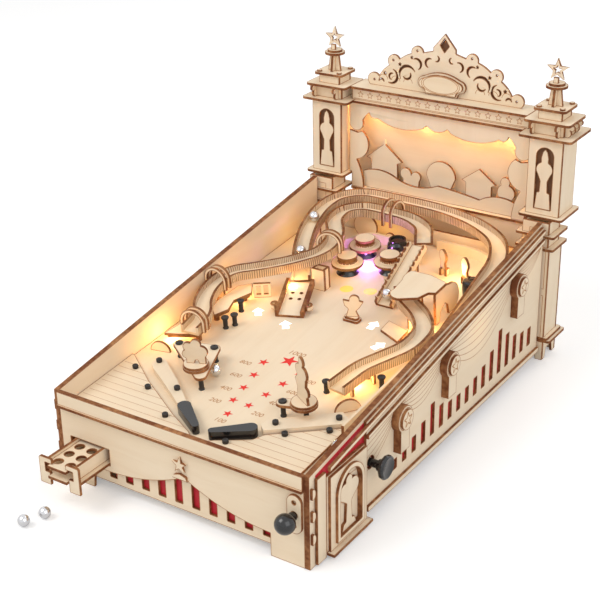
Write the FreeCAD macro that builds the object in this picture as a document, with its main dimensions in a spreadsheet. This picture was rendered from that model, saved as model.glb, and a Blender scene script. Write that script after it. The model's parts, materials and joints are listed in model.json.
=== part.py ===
import FreeCAD, Part
import math
import os
from types import SimpleNamespace
from FreeCAD import Placement, Rotation, Vector

# Table-top bagatelle with a sloping playfield, a ball drawer, a spring plunger,
# two flippers and a theatre back-box, cut from thin plywood sheets.
# X runs to the player's right, Y runs to the back, Z runs up.
# Heights and depths in the drawings are counted from the cabinet's front plane.

doc = FreeCAD.newDocument("tabletop_bagatelle")
sheet = doc.addObject("Spreadsheet::Sheet", "Sizes")

# Driving dimensions in millimetres and degrees
SIZES = (
    ("ply", 2.0, "plywood sheet"),
    ("wall_ply", 4.0, "cabinet wall, two sheets"),
    ("film", 0.5, "red backing film"),
    ("body_width", 220.0, "over the cabinet walls"),
    ("body_length", 351.0, "cabinet wall length"),
    ("front_height", 73.0, "wall height at the front"),
    ("back_height", 124.0, "wall height at the back"),
    ("floor_gap", 9.0, "underside of the cabinet above the table"),
    ("foot_length", 14.0, "front foot of a wall"),
    ("board_angle", 4.53, "slope of the playfield"),
    ("board_front", 56.6, "playfield height at the front plane"),
    ("ball_dia", 9.0, "steel ball"),
    ("clearance", 0.3, "gap beside a moving piece"),
    ("running", 0.08, "radial gap of a shaft in its hole"),
    ("reach_front", 69.5, "front of the loose balls before the front plane"),
    ("cornice_set", 50.0, "back of the tower cornices behind the ends of the walls"),
    ("band_height", 10.5, "front top band"),
    ("slot_width", 6.4, "grille slot"),
    ("slot_pitch", 15.0, "front grille slots"),
    ("side_slot_pitch", 14.0, "side grille slots"),
    ("track_width", 15.6, "ball track over its curbs"),
    ("track_curb", 2.2, "curb of a ball track"),
    ("track_height", 7.0, "ball track over its curbs, upright"),
    ("guide_height", 9.0, "rails and tall posts above the playfield"),
    ("inlane_height", 5.0, "guides beside the flippers above the playfield"),
    ("pin_height", 3.2, "short rubber post over the sheet under it"),
    ("post_dia", 4.6, "rubber post"),
    ("cap_dia", 5.6, "cap of a rubber post"),
    ("plate_height", 10.0, "underside of the sling plates above the playfield"),
    ("flipper_length", 27.0, "pivot to tip centre"),
    ("flipper_height", 7.0, "flipper blade"),
    ("flipper_swing", 50.0, "flipper travel"),
    ("flipper_rest", 36.5, "flipper below the cross line at rest"),
    ("flipper_shaft", 4.0, "flipper shaft"),
    ("crank_radius", 6.0, "flipper crank pin from the shaft"),
    ("crank_pin", 3.0, "crank pin"),
    ("button_y", 74.0, "flipper button axis behind the front plane"),
    ("button_z", 46.0, "flipper button axis above the table"),
    ("button_stem", 6.0, "flipper button stem"),
    ("button_disc", 18.0, "flipper button disc"),
    ("button_reach", 17.0, "flipper button face outside the cabinet wall"),
    ("plunger_x", 99.3, "plunger axis from the middle plane"),
    ("plunger_depth", 14.8, "plunger axis below the playfield surface"),
    ("plunger_rod", 4.6, "plunger rod"),
    ("plunger_knob", 14.6, "plunger ball knob"),
    ("plunger_travel", 15.0, "plunger pull"),
    ("drawer_x", 79.5, "drawer centre left of the middle plane"),
    ("drawer_width", 27.4, "drawer box"),
    ("drawer_flange", 4.0, "drawer base plate beyond its sides"),
    ("drawer_length", 62.0, "drawer box"),
    ("drawer_open", 32.0, "drawer drawn out as shown"),
    ("drawer_top", 37.0, "upper edge of the drawer sides above the table"),
    ("drawer_depth", 11.0, "drawer sides over the base plate"),
    ("seat_dia", 7.4, "ball seat in the drawer"),
    ("seat_pitch", 11.5, "ball seats"),
    ("tower_x", 103.5, "tower axis from the middle plane"),
    ("tower_set", 27.0, "tower axis behind the ends of the walls"),
    ("column_size", 27.0, "tower column"),
    ("shaft_size", 29.0, "tower shaft"),
    ("tower_plate_drop", 0.4, "underside of the plate under the tower shaft below the wall ends"),
    ("shaft_rise", 67.4, "underside of that plate to the underside of the lower cornice"),
    ("cornice_gap", 12.5, "lower cornice to upper cornice"),
    ("star_rise", 62.8, "tip of the tower stars above the underside of the lower cornice"),
    ("stage_set", 23.0, "front of the stage opening behind the ends of the walls"),
    ("ledge_drop", 14.0, "underside of the stage ledge below the wall ends"),
    ("pediment_rise", 67.5, "tip of the pediment above the underside of the lower cornice"),
)

for row, (alias, value, note) in enumerate(SIZES, start=1):
    sheet.set("A%d" % row, note)
    sheet.set("B%d" % row, str(value))
    sheet.setAlias("B%d" % row, alias)
doc.recompute()
S = SimpleNamespace(**{alias: float(sheet.get(alias)) for alias, _, _ in SIZES})

HALF = S.body_width / 2
INNER = HALF - S.wall_ply
CORNICE_BACK = S.body_length + S.cornice_set
FRONT = (S.reach_front - CORNICE_BACK) / 2
TOWER_Y = S.body_length + S.tower_set
TOWER_PLATE_Z = S.back_height - S.tower_plate_drop
CORNICE_Z = TOWER_PLATE_Z + S.shaft_rise
STAR_TOP = CORNICE_Z + S.star_rise
STAGE_Y = S.body_length + S.stage_set
STAGE_Z = S.back_height - S.ledge_drop
PEDIMENT_TOP = CORNICE_Z + S.pediment_rise
SLOPE = math.tan(math.radians(S.board_angle))
BOARD_SLANT = math.cos(math.radians(S.board_angle))

nodes = {}


# Placements

def at(x, y, z, rotation=Rotation()):
    """A place given from the middle plane, the front plane and the table."""
    return Placement(Vector(x, FRONT + y, z), rotation)


def lying(x, y, z, turn=0.0):
    """A plate that lies flat: its drawing is seen from above."""
    return at(x, y, z, Rotation(Vector(0, 0, 1), turn))


def facing(x, y, z):
    """A plate that faces the player: drawn as seen from the front, front face at y."""
    return at(x, y + S.ply, z, Rotation(Vector(1, 0, 0), 90))


def sideways(x, y, z):
    """A plate that stands along the cabinet: drawn with Y across and Z up."""
    return at(x, y, z, Rotation(Vector(1, 1, 1), 120))


BOARD = at(0, 0, S.board_front, Rotation(Vector(1, 0, 0), S.board_angle))


def on_board(x, s, h=0.0, turn=0.0):
    """A place on the playfield: across, up the slope and above its surface."""
    return BOARD.multiply(Placement(Vector(x, s, h), Rotation(Vector(0, 0, 1), turn)))


# The drawings of the playfield were made at this wall length; the back field moves with the back wall
DRAWN_LENGTH = 351.0
FIELD_FRONT = 120.0
FIELD_BACK = 190.0
FIELD_SHIFT = S.body_length - DRAWN_LENGTH


def along(s):
    """A drawn place up the slope: the front field stays, the back field moves as a whole."""
    share = min(1.0, max(0.0, (s - FIELD_FRONT) / (FIELD_BACK - FIELD_FRONT)))
    return s + FIELD_SHIFT * share


def placed(points):
    """Drawn places on the playfield, moved with the back field."""
    return [(point[0], along(point[1])) + tuple(point[2:]) for point in points]


def upright(x, s, h=0.0, turn=0.0):
    """A plate that stands on the playfield, drawn with its width across."""
    return on_board(x, s, h, turn).multiply(
        Placement(Vector(), Rotation(Vector(1, 0, 0), 90)))


def wall_top(y):
    """Height of the sloping wall top at a depth behind the front plane."""
    return S.front_height + (S.back_height - S.front_height) * y / S.body_length


# Outlines: points joined by lines, where ("via", x, y) bends the next edge through a point

def outline(*points):
    edges = []
    corners = list(points) + [points[0]]
    start = corners[0]
    through = None
    for point in corners[1:]:
        if point[0] == "via":
            through = Vector(point[1], point[2], 0)
            continue
        first = Vector(start[0], start[1], 0)
        last = Vector(point[0], point[1], 0)
        if through is None:
            edges.append(Part.LineSegment(first, last))
        else:
            edges.append(Part.Arc(first, through, last))
        start = point
        through = None
    return edges


def rectangle(x0, y0, x1, y1):
    return outline((x0, y0), (x1, y0), (x1, y1), (x0, y1))


def rounded(x0, y0, x1, y1, r):
    k = r * (1 - math.sqrt(0.5))
    return outline((x0 + r, y0), (x1 - r, y0), ("via", x1 - k, y0 + k), (x1, y0 + r),
                   (x1, y1 - r), ("via", x1 - k, y1 - k), (x1 - r, y1),
                   (x0 + r, y1), ("via", x0 + k, y1 - k), (x0, y1 - r),
                   (x0, y0 + r), ("via", x0 + k, y0 + k))


def circle(x, y, diameter):
    return [Part.Circle(Vector(x, y, 0), Vector(0, 0, 1), diameter / 2)]


def star_points(x, y, radius, inner=0.42):
    """Ten corners of a five-pointed star with one point up."""
    corners = []
    for k in range(10):
        r = radius if k % 2 == 0 else radius * inner
        angle = math.radians(90 + 36 * k)
        corners.append((x + r * math.cos(angle), y + r * math.sin(angle)))
    return corners


def arch(x0, x1, z0, spring):
    """An opening with upright sides and a half-round head."""
    middle = (x0 + x1) / 2
    return outline((x0, z0), (x1, z0), (x1, spring),
                   ("via", middle, spring + (x1 - x0) / 2), (x0, spring))


def mirrored(points, side):
    """Points drawn for the right-hand side, turned over for the left when side is -1."""
    result = []
    for point in points:
        if point[0] == "via":
            result.append(("via", side * point[1], point[2]))
        else:
            result.append((side * point[0], point[1]))
    return result


# Solids

def plate(label, place, loops, thickness="ply"):
    """A sheet cut to an outline, with holes, and as thick as a named size."""
    body = doc.addObject("PartDesign::Body", label)
    body.Label = label
    sketch = body.newObject("Sketcher::SketchObject", label + "_outline")
    base = [f for f in body.Origin.OriginFeatures if f.Role == "XY_Plane"][0]
    sketch.AttachmentSupport = [(base, "")]
    sketch.MapMode = "FlatFace"
    for loop in loops:
        sketch.addGeometry(loop, False)
    pad = body.newObject("PartDesign::Pad", label + "_sheet")
    pad.Profile = sketch
    pad.setExpression("Length", "Sizes." + thickness)
    body.Placement = place
    return body


def rod(label, place, diameter, length):
    """A round rod along its own Z; both sizes are expressions of the sheet."""
    shape = doc.addObject("Part::Cylinder", label)
    shape.Label = label
    shape.setExpression("Radius", "(%s) / 2" % diameter)
    shape.setExpression("Height", str(length))
    shape.Placement = place
    return shape


def ball(label, place, diameter):
    shape = doc.addObject("Part::Sphere", label)
    shape.Label = label
    shape.setExpression("Radius", "(%s) / 2" % diameter)
    shape.Placement = place
    return shape


def block(label, place, length, width, height):
    shape = doc.addObject("Part::Box", label)
    shape.Label = label
    shape.setExpression("Length", str(length))
    shape.setExpression("Width", str(width))
    shape.setExpression("Height", str(height))
    shape.Placement = place
    return shape


def turned(label, place, profile):
    """A piece turned about its own Z from a closed half section of radius and height."""
    body = doc.addObject("PartDesign::Body", label)
    body.Label = label
    sketch = body.newObject("Sketcher::SketchObject", label + "_section")
    base = [f for f in body.Origin.OriginFeatures if f.Role == "XZ_Plane"][0]
    sketch.AttachmentSupport = [(base, "")]
    sketch.MapMode = "FlatFace"
    sketch.addGeometry(profile, False)
    axis = [f for f in body.Origin.OriginFeatures if f.Role == "Z_Axis"][0]
    turn = body.newObject("PartDesign::Revolution", label + "_turn")
    turn.Profile = sketch
    turn.ReferenceAxis = (axis, [""])
    turn.Angle = 360
    body.Placement = place
    return body


def joined(label, pieces):
    """Pieces made as one."""
    shape = doc.addObject("Part::MultiFuse", label)
    shape.Label = label
    shape.Shapes = pieces
    return shape


def sheet_box(label, x0, x1, y0, y1, z0, z1):
    """Four upright sheets round a hollow, in the cabinet's own directions."""
    t = S.ply
    return [plate(label + "_front", facing(0, y0, 0), [rectangle(x0, z0, x1, z1)]),
            plate(label + "_back", facing(0, y1 - t, 0), [rectangle(x0, z0, x1, z1)]),
            plate(label + "_left", sideways(x0, 0, 0), [rectangle(y0 + t, z0, y1 - t, z1)]),
            plate(label + "_right", sideways(x1 - t, 0, 0), [rectangle(y0 + t, z0, y1 - t, z1)])]


def crescent(x, y, radius, turn, thick, span=100.0):
    """Pointed curved slot: two bends between the same ends, its belly towards turn."""
    ends = []
    for k in (-1, 1):
        angle = math.radians(turn + k * span)
        ends.append((x + radius * math.cos(angle), y + radius * math.sin(angle)))
    bend = math.radians(turn)
    outer = ("via", x + radius * math.cos(bend), y + radius * math.sin(bend))
    inner = ("via", x + (radius - thick) * math.cos(bend), y + (radius - thick) * math.sin(bend))
    return outline(ends[0], outer, ends[1], inner)


def node(name, *pieces):
    """Keep pieces under the name of their file; alike pieces share one file."""
    nodes.setdefault(name, []).extend(pieces)


# Cabinet

BACK_DROP = 26.0


def build_cabinet():
    profile = ((0, 0), (S.foot_length, 0), (S.foot_length, S.floor_gap),
               (S.body_length, S.floor_gap), (S.body_length, S.back_height),
               (0, S.front_height))
    stem_hole = circle(S.button_y, S.button_z, S.button_stem + 2 * S.clearance)
    for name, x in (("left_wall", -HALF), ("right_wall", INNER)):
        node("side_walls", plate(name, sideways(x, 0, 0), [outline(*profile), stem_hole], "wall_ply"))
    node("cabinet_panels", plate("base_panel", lying(0, 0, S.floor_gap), [
        rectangle(-INNER, 2 * S.ply, INNER, S.body_length - S.ply)]))
    node("cabinet_panels", plate("back_panel", facing(0, S.body_length - S.ply, 0), [
        rectangle(-INNER, S.floor_gap, INNER, S.back_height - BACK_DROP)]))


FRONT_PEAK_X = 6.5
FRONT_PEAK_Z = 37.0
FRONT_SWAG_X = 72.0
FRONT_SWAG_Z = 18.5
FRONT_SLOT_Z = 13.0
FRONT_SLOTS = 10
FRONT_FIRST_SLOT = -60.5
GRILLE_LIFT = 8.0


def front_edge(x):
    """Lower edge of the front drape: two curtains that part in the middle."""
    away = min(1.0, abs(x - FRONT_PEAK_X) / FRONT_SWAG_X)
    return FRONT_SWAG_Z + (FRONT_PEAK_Z - FRONT_SWAG_Z) * (1 - away) ** 2


def drawer_bay():
    half = S.drawer_width / 2 + S.drawer_flange + 2 * S.clearance
    low = S.drawer_top - S.drawer_depth - S.ply - S.clearance
    return rectangle(-S.drawer_x - half, low, -S.drawer_x + half, S.drawer_top + 2 * S.clearance)


def build_front():
    left = FRONT_PEAK_X - FRONT_SWAG_X
    right = FRONT_PEAK_X + FRONT_SWAG_X
    half = FRONT_SWAG_X / 2
    lip_z = S.front_height - S.band_height
    rod_hole = circle(S.plunger_x, plunger_height(S.ply), S.plunger_rod + 2 * S.clearance)
    drape = outline((-INNER, 0), (left - 13, 0), (left - 11, FRONT_SWAG_Z), (left, FRONT_SWAG_Z),
                    ("via", FRONT_PEAK_X - half, front_edge(FRONT_PEAK_X - half)),
                    (FRONT_PEAK_X, FRONT_PEAK_Z),
                    ("via", FRONT_PEAK_X + half, front_edge(FRONT_PEAK_X + half)),
                    (right, FRONT_SWAG_Z), (right, 0), (INNER, 0),
                    (INNER, lip_z - S.ply), (-INNER, lip_z - S.ply))
    node("front_drape", plate("front_drape", facing(0, 0, 0), [drape, drawer_bay(), rod_hole]))
    slots = []
    for k in range(FRONT_SLOTS):
        x = FRONT_FIRST_SLOT + k * S.slot_pitch
        slots.append(rectangle(x - S.slot_width / 2, FRONT_SLOT_Z, x + S.slot_width / 2,
                               front_edge(x) + 4))
    grille = rectangle(-INNER, GRILLE_LIFT, INNER, S.board_front - 2 * S.ply)
    node("front_grille", plate("front_grille", facing(0, S.ply, 0),
                               [grille, drawer_bay(), rod_hole] + slots))
    node("front_band", plate("front_rail", facing(0, 0, 0), [
        rectangle(-INNER, lip_z, INNER, S.front_height)]))
    node("front_band", plate("front_band", facing(0, -S.ply, 0), [
        rectangle(-INNER, lip_z, INNER, S.front_height)]))
    node("front_band", plate("front_lip", lying(0, 0, lip_z - S.ply), [
        rectangle(-INNER, -1.6 * S.ply, INNER, S.ply)]))
    emblem = star_points(0, 7.5, 6.5)
    node("front_emblem",
         plate("emblem_star", facing(FRONT_PEAK_X - 2, -S.ply, FRONT_PEAK_Z + 3), [outline(*emblem)]),
         plate("emblem_foot", facing(FRONT_PEAK_X - 2, -S.ply, FRONT_PEAK_Z - 1), [
             outline((-6.5, 0), (6.5, 0), (5, 3), (0, 4.6), (-5, 3))]))


SIDE_START = 68.0
SIDE_SLOT_Z = 22.0
SIDE_SLOTS = 19
SIDE_FIRST_SLOT = 80.0
SIDE_TIES = ((164.0, 18.0), (278.0, 29.0))
TIE_FALL = 22.0
MEDALLION_PLACES = (112.0, 183.0, 299.0)
MEDALLION_DROP = 26.0
MEDALLION_DIA = 20.0
MEDALLION_LAYERS = 3
NICHE_START = 19.0
NICHE_WIDTH = 47.0
NICHE_TOP = 65.0
NICHE_FOOT = 5.0


def side_edge(y):
    """Upper ends of the side slots: curtains gathered at the ties."""
    height = 28.0 + 0.03 * (y - SIDE_FIRST_SLOT)
    for tie, rise in SIDE_TIES:
        height += rise * math.exp(-abs(y - tie) / TIE_FALL)
    return height


def layer(side, level, thickness=None):
    """Near side of a layer over the film on a cabinet wall, level sheets out from it."""
    depth = S.ply if thickness is None else thickness
    out = HALF + S.film + level * S.ply
    return out if side > 0 else -out - depth


def build_side(side, name):
    length = S.body_length - S.ply
    slots = []
    for k in range(SIDE_SLOTS):
        y = SIDE_FIRST_SLOT + k * S.side_slot_pitch
        slots.append(rectangle(y - 3, SIDE_SLOT_Z, y + 3, side_edge(y)))
    stem_hole = circle(S.button_y, S.button_z, S.button_stem + 2 * S.ply)
    slots[0] = stem_hole
    panel = outline((SIDE_START, S.floor_gap), (length, S.floor_gap),
                    (length, wall_top(length) - S.ply), (SIDE_START, wall_top(SIDE_START) - S.ply))
    node("side_panels", plate(name + "_side_panel", sideways(layer(side, 0), 0, 0),
                                     [panel] + slots))
    strips = []
    for k, (start, drop) in enumerate(((NICHE_START, 4.0), (SIDE_START, 12.0))):
        strips.append(plate("%s_strip_%d" % (name, k), sideways(layer(side, 1), 0, 0), [
            outline((start, wall_top(start) - drop - 3), (length, wall_top(length) - drop - 3),
                    (length, wall_top(length) - drop), (start, wall_top(start) - drop))]))
    strips.append(plate(name + "_skirt", sideways(layer(side, 1), 0, 0), [
        rectangle(SIDE_START, S.floor_gap, length, S.floor_gap + 4)]))
    node("side_mouldings", *strips)
    discs = []
    for k, y in enumerate(MEDALLION_PLACES):
        z = wall_top(y) - MEDALLION_DROP
        r = MEDALLION_DIA / 2
        w = 0.62 * r
        drop = math.sqrt(r * r - w * w)
        keyhole = outline((y - w, z - 2.6 * r), (y + w, z - 2.6 * r), (y + w, z - drop),
                          ("via", y + r, z), (y, z + r), ("via", y - r, z), (y - w, z - drop))
        for step in range(MEDALLION_LAYERS):
            discs.append(plate("%s_medallion_%d_%d" % (name, k, step),
                               sideways(layer(side, 1 + step), 0, 0), [keyhole]))
        discs.append(plate("%s_medallion_%d_face" % (name, k),
                           sideways(layer(side, 1 + MEDALLION_LAYERS), 0, 0),
                           [circle(y, z, 1.56 * r)]))
    node("side_medallions", *discs)


def build_niche(side, name):
    """Arched niche with a figure on the wall beside a front corner."""
    y0 = NICHE_START
    y1 = NICHE_START + NICHE_WIDTH
    middle = (y0 + y1) / 2
    spring = NICHE_TOP - 20.0
    half = 14.0
    sill = NICHE_FOOT + 7.0
    back = plate(name + "_niche_back", sideways(layer(side, 0), 0, 0), [
        rectangle(y0 - 2, NICHE_FOOT, y1, NICHE_TOP)])
    frame = plate(name + "_niche_frame", sideways(layer(side, 1), 0, 0), [
        rectangle(y0, NICHE_FOOT, y1, NICHE_TOP - 1), arch(middle - half, middle + half, sill, spring)])
    ring = plate(name + "_niche_ring", sideways(layer(side, 2), 0, 0), [
        arch(middle - half - 3.5, middle + half + 3.5, sill - 3, spring),
        arch(middle - half, middle + half, sill, spring)])
    node("corner_niches", back, frame, ring)
    figure = outline((middle - 9, sill), (middle + 9, sill), (middle + 7, sill + 5),
                     (middle + 4, sill + 6), (middle + 3, sill + 20),
                     (middle + 8, sill + 24), ("via", middle + 12, sill + 33), (middle + 4, sill + 37),
                     ("via", middle, sill + 42), (middle - 4, sill + 37),
                     ("via", middle - 12, sill + 33), (middle - 8, sill + 24),
                     (middle - 3, sill + 20), (middle - 4, sill + 6), (middle - 7, sill + 5))
    node("niche_figures", plate(name + "_niche_figure", sideways(layer(side, 1), 0, 0), [figure]))
    plinth = block(name + "_niche_plinth", at(layer(side, 1, 3 * S.ply), y0 - 2, NICHE_FOOT - S.ply),
                   "3 * Sizes.ply", NICHE_WIDTH + 4, "Sizes.ply")
    feet = []
    for k, y in enumerate((y0 + 2, y1 - 7)):
        feet.append(block("%s_corner_foot_%d" % (name, k), at(layer(side, 1, 2 * S.ply), y, 0),
                          "2 * Sizes.ply", 5.0, NICHE_FOOT - S.ply))
    post = plate(name + "_corner_post", sideways(layer(side, 0), 0, 0), [
        rectangle(6.0, 1.5, y0 - 2 - S.clearance, S.front_height - 4)])
    tabs = []
    for k, z in enumerate((24.0, 42.0, 59.5)):
        tabs.append(plate("%s_corner_tab_%d" % (name, k), sideways(layer(side, 0) - side * S.film, 0, 0), [
            outline((1, z - 4), (3, z - 4), ("via", 5, z), (3, z + 4), (1, z + 4))]))
    node("corner_trim", plinth, post, *(feet + tabs))


FILM_EDGE = 1.5
FILM_START = 7.5


def build_films():
    """Red films behind the front grille and between the walls and their outer sheets."""
    reach = FRONT_SWAG_X + 3
    front = plate("front_film", at(0, 2 * S.ply + S.film, 0, Rotation(Vector(1, 0, 0), 90)), [
        rectangle(-S.drawer_x + S.drawer_width / 2 + 6, GRILLE_LIFT + 3, FRONT_PEAK_X + reach,
                  FRONT_PEAK_Z + 6)], "film")
    node("red_films", front)
    length = S.body_length - S.ply
    low = S.floor_gap + FILM_EDGE
    drop = S.ply + FILM_EDGE
    stem_hole = circle(S.button_y, S.button_z, S.button_stem + 2 * S.ply)
    for name, x in (("left", -HALF - S.film), ("right", HALF)):
        node("red_films", plate(name + "_film", sideways(x, 0, 0), [
            outline((FILM_START, low), (length, low), (length, wall_top(length) - drop),
                    (FILM_START, wall_top(FILM_START) - drop)), stem_hole], "film"))


# Playfield

FLIPPER_MIDDLE = 7.0
FLIPPER_SPREAD = 29.0
FLIPPER_S = 41.0
BOARD_START = 2 * S.ply + S.clearance
BOARD_END = (S.body_length - S.ply) / BOARD_SLANT - S.clearance - S.ply
LANE_RAIL_X = S.plunger_x - S.ball_dia / 2 - 3.0
STRIKER_S = 46.0


def build_playfield():
    shafts = []
    for side in (-1, 1):
        x = FLIPPER_MIDDLE + side * FLIPPER_SPREAD
        shafts.append(circle(x, FLIPPER_S, S.flipper_shaft + 2 * S.running))
    slot = rectangle(S.plunger_x - 2, STRIKER_S - S.plunger_travel - 3, S.plunger_x + 2, STRIKER_S + 3)
    drain = rounded(FLIPPER_MIDDLE - 7, BOARD_START + 2, FLIPPER_MIDDLE + 7, BOARD_START + 15, 4)
    board = rectangle(-INNER + S.clearance, BOARD_START, INNER - S.clearance, BOARD_END)
    node("playfield", plate("playfield", on_board(0, 0, -S.ply), [board, slot, drain] + shafts))
    apron_left = outline((-INNER + S.clearance, BOARD_START), (FLIPPER_MIDDLE - 8, BOARD_START),
                         (FLIPPER_MIDDLE - 8, 19), (-4, 21.5), (-27, 33.5), (-71.3, 60.7),
                         (-102.9, 83.9), (-INNER + S.clearance, 84.5))
    apron_right = outline((FLIPPER_MIDDLE + 8, BOARD_START), (LANE_RAIL_X, BOARD_START),
                          (LANE_RAIL_X, 78), (89, 76.2), (45.3, 43.6), (41, 34.5), (18, 21.5),
                          (FLIPPER_MIDDLE + 8, 19))
    node("apron", plate("apron_left", on_board(0, 0, 0), [apron_left]),
         plate("apron_right", on_board(0, 0, 0), [apron_right]))


# Post places on the playfield: across and up the slope
APRON_PINS = ((-90.6, 69.5), (-64.5, 51.8), (-30.3, 28.7), (27.0, 22.9), (58.2, 50.0), (83.3, 68.4))
GUIDE_PINS = ((-76.6, 81.5), (-41.1, 57.4), (47.4, 55.0), (83.4, 81.1))
TALL_POSTS = ((53.7, 111.7), (86.2, 135.0), (-65.6, 152.3), (-61.7, 159.5), (-69.9, 179.8))
LEFT_GUIDE = ((-81.6, 85.5), (-80.5, 77.0), (-74.8, 71.8), (-58.0, 61.5), (-29.5, 42.6), (-25.3, 47.9),
              (-48.6, 67.5), (-73.7, 85.7), (-78.0, 88.0))
RIGHT_GUIDE = ((44.3, 44.2), (88.5, 77.2), (89.0, 84.5), (81.1, 89.8), (39.5, 56.5), (38.6, 49.6))
SLING_LEFT = ((-43.4, 108.1), (-30.0, 72.0), (-71.7, 101.2))
SLING_RIGHT = ((42.7, 71.8), (58.7, 77.0))


def build_guides():
    for name, corners in (("left", LEFT_GUIDE), ("right", RIGHT_GUIDE)):
        node("ball_guides", plate(name + "_guide", on_board(0, 0, 0), [outline(*corners)], "inlane_height"))
    pins = []
    for group, places, base in (("apron", APRON_PINS, S.ply), ("guide", GUIDE_PINS, S.inlane_height)):
        for k, (x, s) in enumerate(placed(places)):
            pins.append(rod("%s_pin_%d" % (group, k), on_board(x, s, base), "Sizes.post_dia",
                            "Sizes.pin_height"))
    for k, (x, s) in enumerate(placed(TALL_POSTS)):
        pins.append(rod("post_%d" % k, on_board(x, s, 0), "Sizes.post_dia", "Sizes.guide_height"))
        pins.append(rod("cap_%d" % k, on_board(x, s, S.guide_height), "Sizes.cap_dia", "Sizes.ply"))
    node("rubber_posts", *pins)


def hull_outline(centres, radius):
    """A rounded outline round two or three posts, taken anticlockwise."""
    points = []
    count = len(centres)
    for k in range(count):
        ax, ay = centres[k - 1]
        bx, by = centres[k]
        cx, cy = centres[(k + 1) % count]
        first = math.atan2(by - ay, bx - ax) - math.pi / 2
        last = math.atan2(cy - by, cx - bx) - math.pi / 2
        turn = (last - first) % (2 * math.pi)
        middle = first + turn / 2
        start = (bx + radius * math.cos(first), by + radius * math.sin(first))
        through = ("via", bx + radius * math.cos(middle), by + radius * math.sin(middle))
        end = (bx + radius * math.cos(last), by + radius * math.sin(last))
        points += [start, through, end]
    return outline(*points)


FIGURE_DISC = 20.0
FIGURE_DISC_STEP = 1.2


def sling(name, centres, disc_centre, plate_loops, figure, figure_turn):
    """A plate on posts with two stacked discs and an upright figure on them."""
    top = S.plate_height + S.ply
    legs = []
    for k, (x, s) in enumerate(centres):
        legs.append(rod("%s_leg_%d" % (name, k), on_board(x, s, 0), "Sizes.post_dia",
                        "Sizes.plate_height"))
        if math.hypot(x - disc_centre[0], s - disc_centre[1]) > (FIGURE_DISC + S.cap_dia) / 2:
            legs.append(rod("%s_cap_%d" % (name, k), on_board(x, s, top), "Sizes.cap_dia", "Sizes.ply"))
    node("rubber_posts", *legs)
    x, s = disc_centre
    node("sling_plates", plate(name + "_sling_plate", on_board(0, 0, S.plate_height), plate_loops))
    for k in range(2):
        node("sling_plates", plate("%s_sling_disc_%d" % (name, k), on_board(x, s, top + k * S.ply), [
            circle(0, 0, FIGURE_DISC - k * FIGURE_DISC_STEP)]))
    node("sling_figures", plate(name + "_sling_figure",
                                upright(x, s + S.ply / 2, top + 2 * S.ply, figure_turn), [figure]))


def build_slings():
    seated = outline((-7, 0), (-1, 0), (0, 3), (2, 3), (3, 0), (8, 0), (8, 6), ("via", 9.5, 12), (5, 15),
                     ("via", 3, 20), (-3, 17), ("via", -7, 17), (-7.5, 11), ("via", -10, 7),
                     (-7, 4))
    sling("left", SLING_LEFT, (-39.5, 79.8), [hull_outline(SLING_LEFT[::-1], 4.6)], seated, 20)
    rearing = outline((-8, 0), (8, 0), (7, 6), ("via", 10, 10), (6, 14), (7, 20), ("via", 8, 27), (3, 29),
                      ("via", 3, 35), (-1, 36), (-2, 30), ("via", -7, 26), (-5, 20), (-9, 15), (-6, 9))
    sling("right", SLING_RIGHT, (58.7, 75.0), [hull_outline(SLING_RIGHT, 4.8)], rearing, -30)


BUMPERS = ((-30.0, 308.6), (-27.3, 275.0), (3.5, 292.0))


def build_bumpers():
    bases = []
    discs = []
    for k, (x, s) in enumerate(placed(BUMPERS)):
        bases.append(turned("bumper_base_%d" % k, on_board(x, s, 0), outline(
            (0, 0), (9.5, 0), ("via", 7.2, 3.2), (4.2, 5.0), (4.2, 8.0), (0, 8.0))))
        discs.append(plate("bumper_disc_%d" % k, on_board(x, s, 8.0), [circle(0, 0, 27.0)]))
        discs.append(turned("bumper_crown_%d" % k, on_board(x, s, 10.0), outline(
            (0, 0), (9.5, 0), (5.0, 4.5), (0, 4.5))))
        discs.append(plate("bumper_cap_%d" % k, on_board(x, s, 14.5), [circle(0, 0, 17.0)]))
    node("bumper_bases", *bases)
    node("bumper_discs", *discs)


# Ball tracks: channels swept along a route of straight runs and tangent arcs

ARC_SHARE = 0.45


def smooth_route(points):
    corners = [Vector(*p) for p in points]
    edges = []
    last = corners[0]
    for before, corner, after in zip(corners, corners[1:], corners[2:]):
        back = before - corner
        ahead = after - corner
        reach = ARC_SHARE * min(back.Length, ahead.Length)
        back.normalize()
        ahead.normalize()
        start = corner + back * reach
        end = corner + ahead * reach
        bisector = back + ahead
        bisector.normalize()
        half = back.getAngle(ahead) / 2
        radius = reach * math.tan(half)
        centre = corner + bisector * (radius / math.sin(half))
        middle = centre - bisector * radius
        edges.append(Part.LineSegment(last, start).toShape())
        edges.append(Part.Arc(start, middle, end).toShape())
        last = end
    edges.append(Part.LineSegment(last, corners[-1]).toShape())
    return Part.Wire(edges)


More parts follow.
